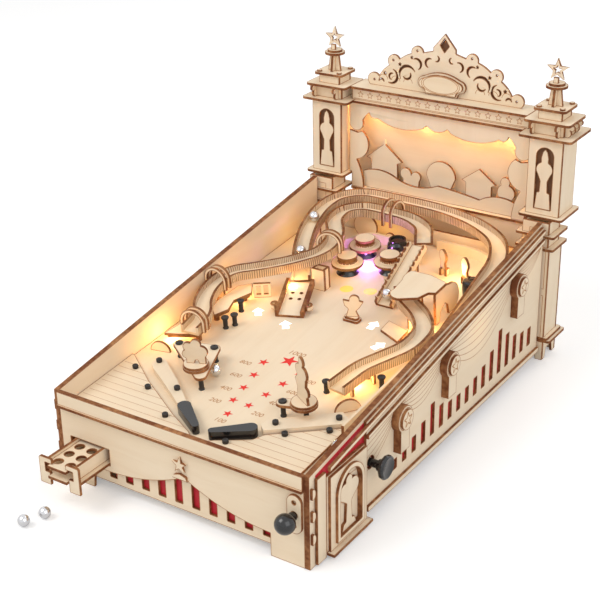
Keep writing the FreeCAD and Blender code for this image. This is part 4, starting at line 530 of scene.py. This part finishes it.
def flat_shape(ring, place):
    """Filled flat shape: a fan from its middle to each edge of the ring."""
    ring = np.asarray(ring)
    points = np.concatenate((ring.mean(0)[None], ring))
    n = len(ring)
    faces = [(0, 1 + k, 1 + (k + 1) % n) for k in range(n)]
    flat = np.concatenate((points, np.zeros((n + 1, 1))), 1) * MM
    return moved(flat, place), faces


# Plywood sheets of the CAD nodes, split into pale faces and burnt edges

def sheet_faces(mesh, sheet):
    """1 for each burnt edge face: one with more wood behind it than a sheet is thick.

    The wood behind a face is the way that a ray from its middle runs inwards before it leaves the piece."""
    tree = BVHTree.FromPolygons(got(mesh.vertices, "co", 3).tolist(), [f.vertices for f in mesh.polygons])
    burnt = np.zeros(len(mesh.polygons), np.int32)
    start = 0.02 * MM
    for face in mesh.polygons:
        hit = tree.ray_cast(face.center - face.normal * start, -face.normal)[3]
        burnt[face.index] = hit is None or hit + start > sheet
    return burnt


def dressed_copy(node, smooth_angle=25.0):
    """Merged copy of a CAD node's mesh, with flat faces and smooth bends."""
    mesh = frame["nodes"][node].data.copy()
    mesh.name = node + "_wood"
    mesh.materials.clear()
    tidy = bmesh.new()
    tidy.from_mesh(mesh)
    bmesh.ops.remove_doubles(tidy, verts=tidy.verts, dist=1e-6)
    tidy.to_mesh(mesh)
    tidy.free()
    for layer in list(mesh.uv_layers):
        mesh.uv_layers.remove(layer)
    mesh.shade_smooth()
    mesh.set_sharp_from_angle(angle=math.radians(smooth_angle))
    return mesh


def body_of(node):
    for name, members in frame["record"]["behaviour"]["bodies"].items():
        if node in members:
            return name
    raise ValueError(node)


def slot_of(node):
    for entry in frame["record"]["subparts"]:
        if entry["node"] == node:
            return entry["material_slot"]
    raise ValueError(node)


SHEET = 2.25 * MM
THICK_SHEETS = {"side_walls": 4.25 * MM, "ball_guides": 60 * MM, "board_scenery": 2.6 * MM}


def scorch(mesh, burnt, width, lift):
    """Browned fringe of the pale faces: a strip n x e wide inside each edge e that meets a burnt face."""
    corners = got(mesh.polygons, "loop_total")
    starts = got(mesh.polygons, "loop_start")
    owner = np.repeat(np.arange(len(corners)), corners)
    edge = got(mesh.loops, "edge_index")
    corner = got(mesh.loops, "vertex_index")
    after = starts[owner] + (np.arange(len(owner)) - starts[owner] + 1) % corners[owner]
    beside = np.bincount(edge[burnt[owner] == 1], minlength=len(mesh.edges))
    chosen = (burnt[owner] == 0) & (beside[edge] > 0)
    points = got(mesh.vertices, "co", 3)
    normal = got(mesh.polygons, "normal", 3)[owner[chosen]]
    a, b = points[corner[chosen]], points[corner[after[chosen]]]
    inward = np.cross(normal, b - a)
    inward /= np.maximum(np.linalg.norm(inward, axis=1)[:, None], 1e-9)
    a, b = a + normal * lift, b + normal * lift
    strip = np.stack((a, b, b + inward * width, a + inward * width), 1).reshape(-1, 3)
    return strip, np.arange(len(strip)).reshape(-1, 4)


def dress_sheets(node, grain):
    mesh = dressed_copy(node)
    burnt = sheet_faces(mesh, THICK_SHEETS.get(node, SHEET))
    mesh.polygons.foreach_set("material_index", burnt)
    fringe, faces = scorch(mesh, burnt, 0.45 * MM, 0.03 * MM)
    if len(faces):
        add_piece(node + "_fringe", mesh_from(node + "_fringe", fringe, faces), (browned(),), body_of(node),
                  slot_of(node))
    return add_piece(node + "_wood", mesh, (birch(grain), burnt_edge()), body_of(node), slot_of(node), node)


SHEETS = {
    "deep": ("side_walls", "cabinet_panels", "side_panels", "side_mouldings", "side_medallions",
             "playfield", "drawer_tray", "drawer_guides", "track_columns", "track_hoops",
             "ball_ramps", "head_cover", "sling_plates", "ball_guides", "bumper_discs",
             "left_slider", "right_slider"),
    "across": ("front_drape", "front_grille", "front_band", "apron", "lintel", "pediment",
               "sign_plate", "stage_frame", "stage_scene", "scene_back", "drawer_box",
               "board_scenery", "standing_targets", "sling_figures", "plunger_plate"),
    "tall": ("front_emblem", "corner_niches", "niche_figures", "corner_trim", "tower_columns",
             "tower_cornices", "tower_finials", "tower_shafts", "tower_figures", "striker",
             "stage_curtains"),
}
TRACKS = ("orbit_track", "return_track")
COATED = ("left_flipper", "right_flipper", "left_crank", "right_crank", "plunger_rod")


class BAGATELLE_OT_plywood(bpy.types.Operator):
    """Gives every plywood sheet pale grained faces and burnt edges"""
    bl_idname = "bagatelle.plywood"
    bl_label = "Plywood sheets"

    def execute(self, context):
        for grain, members in SHEETS.items():
            for node in members:
                dress_sheets(node, grain)
        return {"FINISHED"}


def on_route(points):
    """For each point, the length along the nearest track middle line, and its height above that line."""
    spots, lengths = [], []
    for route in ROUTES:
        line = np.array([world_point(*(board_matrix(*p).translation / MM - Vector((0, FRONT, 0))))
                         for p in route])
        steps = np.linalg.norm(np.diff(line, axis=0), axis=1)
        total = np.concatenate(((0,), np.cumsum(steps)))
        here = np.linspace(0, total[-1], 500)
        spots.append(np.stack([np.interp(here, total, line[:, k]) for k in range(3)], 1))
        lengths.append(here)
    spots, lengths = np.concatenate(spots), np.concatenate(lengths)
    near = ((points[:, None] - spots[None]) ** 2).sum(2).argmin(1)
    return lengths[near].astype(np.float32), points[:, 2] - spots[near, 2]


class BAGATELLE_OT_tracks(bpy.types.Operator):
    """Dresses the ball tracks: pale floors, kerfed curb sides, burnt curb tops"""
    bl_idname = "bagatelle.tracks"
    bl_label = "Ball tracks"

    def execute(self, context):
        for node in TRACKS:
            mesh = dressed_copy(node, 40.0)
            up = got(mesh.polygons, "normal", 3)[:, 2]
            level = on_route(got(mesh.polygons, "center", 3))[1]
            picks = np.where(np.abs(up) < 0.6, 1, np.where((up > 0) & (level > 1.5 * MM), 2, 0))
            mesh.polygons.foreach_set("material_index", picks.astype(np.int32))
            along = on_route(got(mesh.vertices, "co", 3))[0]
            mesh.attributes.new("along", "FLOAT", "POINT").data.foreach_set("value", along)
            add_piece(node + "_wood", mesh, (birch("deep"), kerfed_side(), burnt_edge()), "cabinet",
                      "birch_ply", node)
        return {"FINISHED"}


class BAGATELLE_OT_films(bpy.types.Operator):
    """Finishes the red films, the stained linings, the flippers, their cranks, the rod and the spring"""
    bl_idname = "bagatelle.films"
    bl_label = "Films, linings and fittings"

    def execute(self, context):
        finishes = {"red_films": scarlet_film(), "wood_linings": stained_wood(),
                    "plunger_spring": polished_steel()}
        finishes.update((node, black_gloss()) for node in COATED)
        for node, finish in finishes.items():
            frame["nodes"][node].data.materials.clear()
            frame["nodes"][node].data.materials.append(finish)
        return {"FINISHED"}


def dome(radius, height, base, steps=7):
    """Profile of a shallow cap: radius cos t and height sin t above its base."""
    t = np.linspace(0, np.pi / 2, steps)
    return [(radius * math.cos(a), base + height * math.sin(a)) for a in t]


class BAGATELLE_OT_posts(bpy.types.Operator):
    """Turns the rubber posts: a waisted sleeve with a domed black cap and a screw"""
    bl_idname = "bagatelle.posts"
    bl_label = "Rubber posts"

    def execute(self, context):
        cap = sizes().post_radius / MM
        heap = Heap()

        def pin(x, s, base, top):
            body = [(0, base), (2.2, base), (2.3, base + 0.3), (2.3, top - 0.8)]
            heap.add(*lathe(body + dome(2.3, 0.8, top - 0.8)[1:-1] + [(0.9, top), (0.8, top - 0.4),
                                                                      (0, top - 0.4)],
                            board_matrix(x, s), 28))

        def sleeve(x, s, top):
            waist = [(0, 0), (2.3, 0), (2.4, 0.8), (1.9, 1.6), (1.9, top - 1.6), (2.4, top - 0.8),
                     (2.3, top), (0, top)]
            heap.add(*lathe(waist, board_matrix(x, s), 24))

        def button(x, s, base):
            rim = [(0, base), (cap - 0.3, base), (cap, base + 0.4), (cap, base + 1.2)]
            heap.add(*lathe(rim + dome(cap, 0.8, base + 1.2)[1:-1] + [(0.9, base + 1.95),
                                                                     (0.8, base + 1.6), (0, base + 1.6)],
                            board_matrix(x, s), 28))
        for x, s in ((-90.6, 69.5), (-64.5, 51.8), (-30.3, 28.7), (27.0, 22.9), (58.2, 50.0), (83.3, 68.4)):
            pin(x, s, 2.0, 5.2)
        for x, s in ((-76.6, 81.5), (-41.1, 57.4), (47.4, 55.0), (83.4, 81.1)):
            pin(x, s, 5.0, 8.2)
        for x, s in ((53.7, 111.7), (86.2, 135.0), (-65.6, 152.3), (-61.7, 159.5), (-69.9, 179.8)):
            sleeve(x, s, 9.0)
            button(x, s, 9.0)
        for x, s in ((-43.4, 108.1), (-30.0, 72.0), (-71.7, 101.2), (42.7, 71.8), (58.7, 77.0)):
            sleeve(x, s, 10.0)
        for x, s in ((-43.4, 108.1), (-71.7, 101.2), (42.7, 71.8)):
            button(x, s, 12.0)
        add_piece("rubber_posts_turned", heap.mesh("rubber_posts_turned"), (black_rubber(),), "cabinet",
                  "rubber", "rubber_posts")
        return {"FINISHED"}


class BAGATELLE_OT_turned(bpy.types.Operator):
    """Turns the black knob, buttons, bumper bases, drum and pot, and the steel balls"""
    bl_idname = "bagatelle.turned"
    bl_label = "Knobs, drums and balls"

    def execute(self, context):
        bumpers = ((-30.0, 308.6), (-27.3, 275.0), (3.5, 292.0))
        heap = Heap()
        for x, s in bumpers:
            base = [(0, 0)] + [(9.6 - 2.6 * math.sin(math.pi / 2 * t), 0.2 + 4.8 * t)
                               for t in np.linspace(0, 1, 9)] + [(4.2, 5.2), (4.2, 8), (0, 8)]
            heap.add(*lathe(base, board_matrix(x, s)))
        add_piece("bumper_bases_turned", heap.mesh("bumper_bases_turned"), (black_gloss(),), "cabinet",
                  "black_plastic", "bumper_bases")
        heap = Heap()
        drum = [(0, 0), (7.4, 0), (8.0, 1.0), (8.5, 7.0), (8.0, 12.4), (7.2, 13.6), (6.0, 14.0), (2.2, 14.0),
                (2.0, 13.5), (0, 13.5)]
        heap.add(*lathe(drum, board_matrix(82.5, 286)))
        pot = [(0, 0), (6, 0), (8.2, 4), (9.1, 8), (8.4, 12), (6.6, 14), (6.4, 14.6), (7.4, 15), (7.4, 16),
               (5.6, 16), (5.4, 14.8), (0, 14.8)]
        heap.add(*lathe(pot, board_matrix(-4.5, 319.3)))
        add_piece("black_drums_turned", heap.mesh("black_drums_turned"), (black_gloss(),), "cabinet",
                  "black_plastic", "black_drums")
        self.knob()
        for side, name in ((-1, "left"), (1, "right")):
            self.button(side, name)
        self.balls()
        return {"FINISHED"}

    def knob(self):
        r = 7.3
        back = board_matrix(99.3, -14.0, -14.8) @ Matrix.Rotation(math.radians(-90), 4, "X")
        profile = [(r * math.cos(t), r * math.sin(t)) for t in np.linspace(-math.pi / 2, 1.08, 22)]
        profile += [(3.4, 6.7), (3.4, 9.2), (3.0, 9.86), (0, 9.86)]
        heap = Heap()
        heap.add(*lathe(profile, back))
        add_piece("plunger_knob_turned", heap.mesh("plunger_knob_turned"), (black_gloss(),), "plunger",
                  slot_of("plunger_knob"), "plunger_knob")

    def button(self, side, name):
        """Stem, flared hub and a scalloped disc: radius 9 plus 0.35 cos 12a on its rim."""
        out = Matrix.Translation(world_point(side * 102, 74, 46)) @ Matrix.Rotation(
            math.radians(90 * side), 4, "Y")
        profile = [(0, 0), (3, 0), (3, 16.4), (4.4, 17.2), (5.4, 20.4), (7.6, 20.6), (8.6, 21.2), (9, 22),
                   (9, 23.6), (8.6, 24.4), (7.6, 24.9), (6.4, 24.7), (5.6, 24.3), (0, 24.2)]
        points, faces = lathe(profile, Matrix(), 72)
        ring = np.linalg.norm(points[:, :2], axis=1)
        angle = np.arctan2(points[:, 1], points[:, 0])
        flute = np.where(ring > 8.3 * MM, 1 - 0.035 * (1 - np.cos(12 * angle)) / 2, 1.0)
        points[:, :2] *= flute[:, None]
        heap = Heap()
        heap.add(moved(points, out), faces)
        add_piece(name + "_button_turned", heap.mesh(name + "_button_turned"), (black_gloss(),),
                  name + "_button_body", slot_of(name + "_button"), name + "_button")

    def balls(self):
        r = 4.5
        heap = Heap()
        profile = [(r * math.cos(t), r * math.sin(t)) for t in np.linspace(-math.pi / 2, math.pi / 2, 25)]
        for x, y in ((-88.2, -65.0), (-82.3, -49.6)):
            heap.add(*lathe(profile, Matrix.Translation(world_point(x, y, r))))
        for x, s, h in ((-31.8, 92.3, 0.0), (99.0, 54.0, 0.0), (-63.44, 260.31, 14.4), (-77.0, 303.5, 24.3),
                        (29.0, 242.89, 5.23)):
            heap.add(*lathe(profile, board_matrix(x, s, h + r)))
        add_piece("steel_balls_round", heap.mesh("steel_balls_round"), (polished_steel(),), "cabinet",
                  "chromed_steel", "steel_balls")


class BAGATELLE_OT_prints(bpy.types.Operator):
    """Prints the red stars and the scores, and lays the lit arrows, inlays and lamp on the playfield"""
    bl_idname = "bagatelle.prints"
    bl_label = "Playfield prints"

    STARS = ((5.7, 55, 4.2), (-1.1, 71.4, 4.2), (13, 70.9, 4.2), (-3.8, 88.5, 4.4), (16.2, 88.4, 4.4),
             (-6.8, 106.3, 4.6), (19.2, 106.1, 4.6), (-10.4, 124.3, 4.8), (22.5, 124.3, 4.8),
             (6, 134.8, 7.6))
    SCORES = (("100", 5.4, 45.5), ("200", -12.7, 64.5), ("400", -15.2, 81.5), ("600", -18.9, 99.7),
              ("800", -22.5, 117.3), ("1000", 5.5, 146.0), ("200", 24.8, 64.5), ("400", 28, 81.5),
              ("600", 31.5, 99.7), ("800", 35, 117.3))
    ARROWS = ((-57, 185, 36), (-26, 178, 36), (35.5, 208.7, -2), (54.4, 184.3, -22))

    def execute(self, context):
        lift = sizes().print_lift / MM
        board = board_matrix(0, 0, lift)
        heap = Heap()
        for x, s, r in self.STARS:
            heap.add(*flat_shape(star_ring(x, s, r), board))
        star_paint = coated("star_print", colours().star, 0.6, 0.12)
        add_piece("star_prints", heap.mesh("star_prints", False), (star_paint,), "cabinet", "red_film")
        heap = Heap()
        for x, s, turn in self.ARROWS:
            ring = np.array([(0, 7), (-5, 1.5), (-2.4, 1.5), (-2.9, -5.5), (2.9, -5.5), (2.4, 1.5), (5, 1.5)])
            heap.add(*flat_shape(ring, board_matrix(x, s, lift, turn)))
        add_piece("arrow_lamps", heap.mesh("arrow_lamps", False), (lit("arrow_light", (1, 0.97, 1), 1.6),),
                  "cabinet", "birch_ply")
        heap = Heap()
        for x, s in ((-13.4, 249.8), (6.1, 254.8)):
            heap.add(*flat_shape(arc(x, s, 5.6, 0, 345, 24), board))
        add_piece("amber_inlays", heap.mesh("amber_inlays", False), (
            lit("amber_light", (1, 0.62, 0.12), 0.45),), "cabinet", "birch_ply")
        heap = Heap()
        heap.add(*lathe([(3.2, 0)] + dome(3.2, 2.2, 0)[1:], board_matrix(*BUMPER_LAMP[:2]), 24))
        add_piece("violet_lamp", heap.mesh("violet_lamp"), (lit("violet_light", (0.75, 0.5, 1.0), 2.2),),
                  "cabinet", "birch_ply")
        self.scores(lift)
        return {"FINISHED"}

    def scores(self, lift):
        points, faces, count = [], [], 0
        for text, x, s in self.SCORES:
            curve = bpy.data.curves.new("score", "FONT")
            curve.body = text
            curve.size = 6.4 * MM if text != "1000" else 7.4 * MM
            curve.align_x = "CENTER"
            curve.align_y = "CENTER"
            curve.shear = 0.15
            probe = bpy.data.objects.new("score", curve)
            mesh = bpy.data.meshes.new_from_object(probe)
            place = np.array(board_matrix(x, s, lift))
            here = got(mesh.vertices, "co", 3)
            points.append(here @ place[:3, :3].T + place[:3, 3])
            faces += [[k + count for k in f.vertices] for f in mesh.polygons]
            count += len(here)
            bpy.data.objects.remove(probe)
            bpy.data.curves.remove(curve)
            bpy.data.meshes.remove(mesh)
        mesh = mesh_from("score_prints", np.concatenate(points), faces)
        add_piece("score_prints", mesh, (coated("engraved_ink", colours().ink, 0.7),), "cabinet",
                  "birch_ply")


def wood_tree():
    """Search tree over every plywood node, to lay engraved lines on the faces."""
    points, faces, count = [], [], 0
    for members in SHEETS.values():
        for node in members:
            mesh = frame["nodes"][node].data
            points += got(mesh.vertices, "co", 3).tolist()
            faces += [[k + count for k in f.vertices] for f in mesh.polygons]
            count = len(points)
    return BVHTree.FromPolygons(points, faces)


def resampled(points, step=0.8):
    p = np.array(points, float)
    total = np.concatenate(((0,), np.cumsum(np.linalg.norm(np.diff(p, axis=0), axis=1))))
    here = np.linspace(0, total[-1], max(2, int(total[-1] / step) + 1))
    return np.stack([np.interp(here, total, p[:, k]) for k in range(2)], 1)


class BAGATELLE_OT_engraving(bpy.types.Operator):
    """Engraves the star frieze, the swags, the medallion stars, the borders and the plank lines"""
    bl_idname = "bagatelle.engraving"
    bl_label = "Engraved lines"

    def execute(self, context):
        self.tree = wood_tree()
        self.heap = Heap()
        self.width = sizes().line_width / MM
        self.lift = sizes().print_lift / MM
        self.frieze()
        for side in (-1, 1):
            self.swags(side)
        self.borders()
        self.planks()
        if not self.heap.count:
            raise RuntimeError("no engraved line met a sheet")
        add_piece("engraved_lines", self.heap.mesh("engraved_lines", False),
                  (coated("engraved_brown", colours().ink, 0.7),), "cabinet", "birch_ply")
        return {"FINISHED"}

    def line(self, points, place, wide=1.0, reach=1.2):
        """Lays one line on the sheet under it; where a ray meets no sheet, the line has a gap."""
        out = place.to_3x3() @ Vector((0, 0, 1))
        back = place.inverted()
        run, depth = [], 0.0
        for x, y in resampled(points):
            start = place @ (Vector((x, y, reach)) * MM)
            hit, normal, _, _ = self.tree.ray_cast(start, -out, 2 * reach * MM)
            here = hit is not None and normal.dot(out) > 0.95
            level = (back @ hit).z / MM if here else 0.0
            if run and (not here or abs(level - depth) > 0.05):
                self.lay(run, place, depth, wide)
                run = []
            if here:
                run.append((x, y))
                depth = level
        self.lay(run, place, depth, wide)

    def lay(self, run, place, depth, wide):
        if len(run) > 1:
            self.heap.add(*ribbon(run, self.width * wide,
                                  place @ Matrix.Translation((0, 0, (depth + self.lift) * MM))))

    def ring(self, points, place, wide=1.0, reach=1.2):
        self.line(np.concatenate((points, points[:1])), place, wide, reach)

    def frieze(self):
        """Star band of the lintel: 17 stars between two lines, as on the cornice of the stage."""
        place = front_matrix(373)
        for z in (194.2, 202.3):
            self.line(((-82, z), (82, z)), place, 1.0, 2.5)
        for x in np.linspace(-75, 75, 17):
            self.ring(star_ring(x, 198.2, 3.1), place, 1.0, 2.5)

    def swags(self, side):
        """Curtain of each side wall: sagging folds between the medallions, and a star on each medallion."""
        place = wall_matrix(side, 2.5)
        stops = (24.0,) + MEDALLIONS + (346.0,)
        for a, b in zip(stops, stops[1:]):
            span = np.linspace(0, 1, 60)
            y = a + (b - a) * span
            top = WALL_FRONT + (WALL_BACK - WALL_FRONT) * y / WALL_LENGTH - 17
            for sag in (0.05, 0.10, 0.16, 0.22, 0.28):
                self.line(np.stack((y, top - sag * (b - a) * np.sin(np.pi * span) ** 0.8), 1), place)
        for y in MEDALLIONS:
            z = WALL_FRONT + (WALL_BACK - WALL_FRONT) * y / WALL_LENGTH - 26
            face = wall_matrix(side, 10.5)
            self.ring(star_ring(y, z, 6.0), face, 2.0, 3.0)
            self.ring(arc(y, z, 8.4, 0, 360, 40), face, 1.2, 3.0)

    def borders(self):
        """Borders: the sign, two frames on each tower front and arcs on the pediment."""
        sign = front_matrix(381)
        for k in (0.80, 0.72):
            ring = arc(0, 0, 1, 0, 360, 60) * (22.5 * k, 10 * k) + (-1, 215.5)
            self.ring(ring, sign, 1.0, 3.0)
        for x in (-106.5, 106.5):
            for a, b, low, high in ((-8, 8, 20, 60), (-8, 8, 66, 118)):
                ring = np.array(((a, low), (b, low), (b, high), (a, high))) + (x, 0)
                self.ring(ring, front_matrix(352), 1.0, 6.0)
        pediment = front_matrix(384)
        for x in (-58, -46, -34, 34, 46, 58):
            self.line(arc(x, 212, 4.2, 0, 180, 14), pediment)

    def planks(self):
        """Plank lines across both halves of the lower deck."""
        deck = board_matrix(0, 0, 2)
        for s in (10, 17, 24, 31, 38, 45, 52, 59, 66, 73):
            self.line(((-104, s), (91, s)), deck, 0.7)


class BAGATELLE_OT_stage(bpy.types.Operator):
    """Sets up the floor, the studio lamps, the small lamps of the game and the camera"""
    bl_idname = "bagatelle.studio"
    bl_label = "Studio"

    def execute(self, context):
        scene = context.scene
        scene.view_settings.view_transform = "Standard"
        self.floor()
        self.world(scene)
        self.lamp("key", (-0.9, -1.1, 1.7), (0, 0, 0.08), 1.1, 17.0, (1.0, 0.98, 0.95))
        self.lamp("fill", (1.5, -0.7, 1.1), (0, 0, 0.08), 1.4, 9.0, (0.97, 0.98, 1.0))
        self.lamp("rim", (0.2, 1.5, 1.4), (0, 0, 0.1), 1.2, 8.0, (1.0, 1.0, 1.0))
        tint = (1.0, 0.60, 0.22)
        strength = sizes().lamp_strength
        for k, place in enumerate(STAGE_LAMPS):
            self.bead("stage_glow_%d" % k, world_point(*place), 0.030 * strength, tint)
        for k, place in enumerate(BOARD_LAMPS):
            self.bead("board_glow_%d" % k, world_point(*place), 0.020 * strength, tint)
        self.bead("bumper_glow", board_matrix(*BUMPER_LAMP).translation, 0.035 * strength,
                  (0.55, 0.20, 1.0))
        self.camera(scene)
        return {"FINISHED"}

    def floor(self):
        half = 4.0
        low = START_BOX[0][2] - 0.0002
        mesh = mesh_from("floor", ((-half, -half, low), (half, -half, low), (half, half, low),
                                   (-half, half, low)), ((0, 1, 2, 3),))

        def build(shader, nodes, links):
            shader.inputs["Base Color"].default_value = (0.86, 0.86, 0.86, 1)
            shader.inputs["Roughness"].default_value = 0.9
            shader.inputs["Specular IOR Level"].default_value = 0.0
            path = nodes.new("ShaderNodeLightPath")
            glow = nodes.new("ShaderNodeEmission")
            glow.inputs["Color"].default_value = (1, 1, 1, 1)
            total = nodes.new("ShaderNodeAddShader")
            bright = reckon(nodes, links, "MULTIPLY", path.outputs["Is Camera Ray"], 0.30)
            links.new(bright, glow.inputs["Strength"])
            links.new(shader.outputs[0], total.inputs[0])
            links.new(glow.outputs[0], total.inputs[1])
            links.new(total.outputs[0], nodes["Material Output"].inputs["Surface"])
        mesh.materials.append(material("pale_floor", build))
        floor = bpy.data.objects.new("floor", mesh)
        bpy.context.scene.collection.objects.link(floor)

    def world(self, scene):
        world = bpy.data.worlds.new("studio")
        scene.world = world
        world.use_nodes = True
        nodes, links = world.node_tree.nodes, world.node_tree.links
        back = nodes["Background"]
        path = nodes.new("ShaderNodeLightPath")
        seen = reckon(nodes, links, "ADD", path.outputs["Is Camera Ray"], path.outputs["Is Glossy Ray"],
                      clamp=True)
        back.inputs["Color"].default_value = (1, 1, 1, 1)
        links.new(ranged(nodes, links, seen, 0.0, 1.0, 0.55, 1.0), back.inputs["Strength"])

    def bead(self, name, place, power, tint):
        light = bpy.data.lights.new(name, "POINT")
        light.shadow_soft_size = 0.002
        light.energy = power
        light.color = tint
        lamp = bpy.data.objects.new(name, light)
        lamp.location = place
        bpy.context.scene.collection.objects.link(lamp)

    def lamp(self, name, place, aim, size, power, tint):
        light = bpy.data.lights.new(name, "AREA")
        light.size = size
        light.energy = power
        light.color = tint
        lamp = bpy.data.objects.new(name, light)
        lamp.location = place
        lamp.rotation_euler = (Vector(aim) - Vector(place)).to_track_quat("-Z", "Y").to_euler()
        bpy.context.scene.collection.objects.link(lamp)

    def camera(self, scene):
        azimuth, elevation, roll = (math.radians(a) for a in (36.06, 25.88, -2.11))
        back = Vector((math.sin(azimuth) * math.cos(elevation), -math.cos(azimuth) * math.cos(elevation),
                       math.sin(elevation)))
        right = (-back).cross(Vector((0, 0, 1))).normalized()
        up = back.cross(right)
        across = right * math.cos(roll) + up * math.sin(roll)
        over = -right * math.sin(roll) + up * math.cos(roll)
        data = bpy.data.cameras.new("camera")
        data.lens = 82.51
        data.sensor_width = 36.0
        data.shift_x = 0.0917
        data.shift_y = 0.0083
        data.clip_end = 20.0
        camera = bpy.data.objects.new("camera", data)
        place = Vector((-62.61, 8.71, 80.33)) * MM + back * 1.0978
        camera.matrix_world = Matrix.Translation(place) @ Matrix((across, over, back)).transposed().to_4x4()
        scene.collection.objects.link(camera)
        scene.camera = camera


PIECES = (BAGATELLE_OT_plywood, BAGATELLE_OT_tracks, BAGATELLE_OT_films, BAGATELLE_OT_posts,
          BAGATELLE_OT_turned, BAGATELLE_OT_prints, BAGATELLE_OT_engraving, BAGATELLE_OT_stage)


class BAGATELLE_PT_panel(bpy.types.Panel):
    """Sizes, colours and steps of the bagatelle"""
    bl_idname = "BAGATELLE_PT_panel"
    bl_label = "Bagatelle"
    bl_space_type = "VIEW_3D"
    bl_region_type = "UI"
    bl_category = "Bagatelle"

    def draw(self, context):
        for group in (context.scene.bagatelle_sizes, context.scene.bagatelle_colours):
            for name in group.__annotations__:
                self.layout.prop(group, name)
        for operator in PIECES:
            self.layout.operator(operator.bl_idname)


CLASSES = (BagatelleColours, BagatelleSizes) + PIECES + (BAGATELLE_PT_panel,)


def register():
    for cls in CLASSES:
        bpy.utils.register_class(cls)
    bpy.types.Scene.bagatelle_colours = PointerProperty(type=BagatelleColours)
    bpy.types.Scene.bagatelle_sizes = PointerProperty(type=BagatelleSizes)


def unregister():
    del bpy.types.Scene.bagatelle_sizes
    del bpy.types.Scene.bagatelle_colours
    for cls in reversed(CLASSES):
        bpy.utils.unregister_class(cls)


def main():
    register()
    bpy.ops.bagatelle.plywood()
    bpy.ops.bagatelle.tracks()
    bpy.ops.bagatelle.films()
    bpy.ops.bagatelle.posts()
    bpy.ops.bagatelle.turned()
    bpy.ops.bagatelle.prints()
    bpy.ops.bagatelle.engraving()
    bpy.ops.bagatelle.studio()


if __name__ == "__main__":
    main()
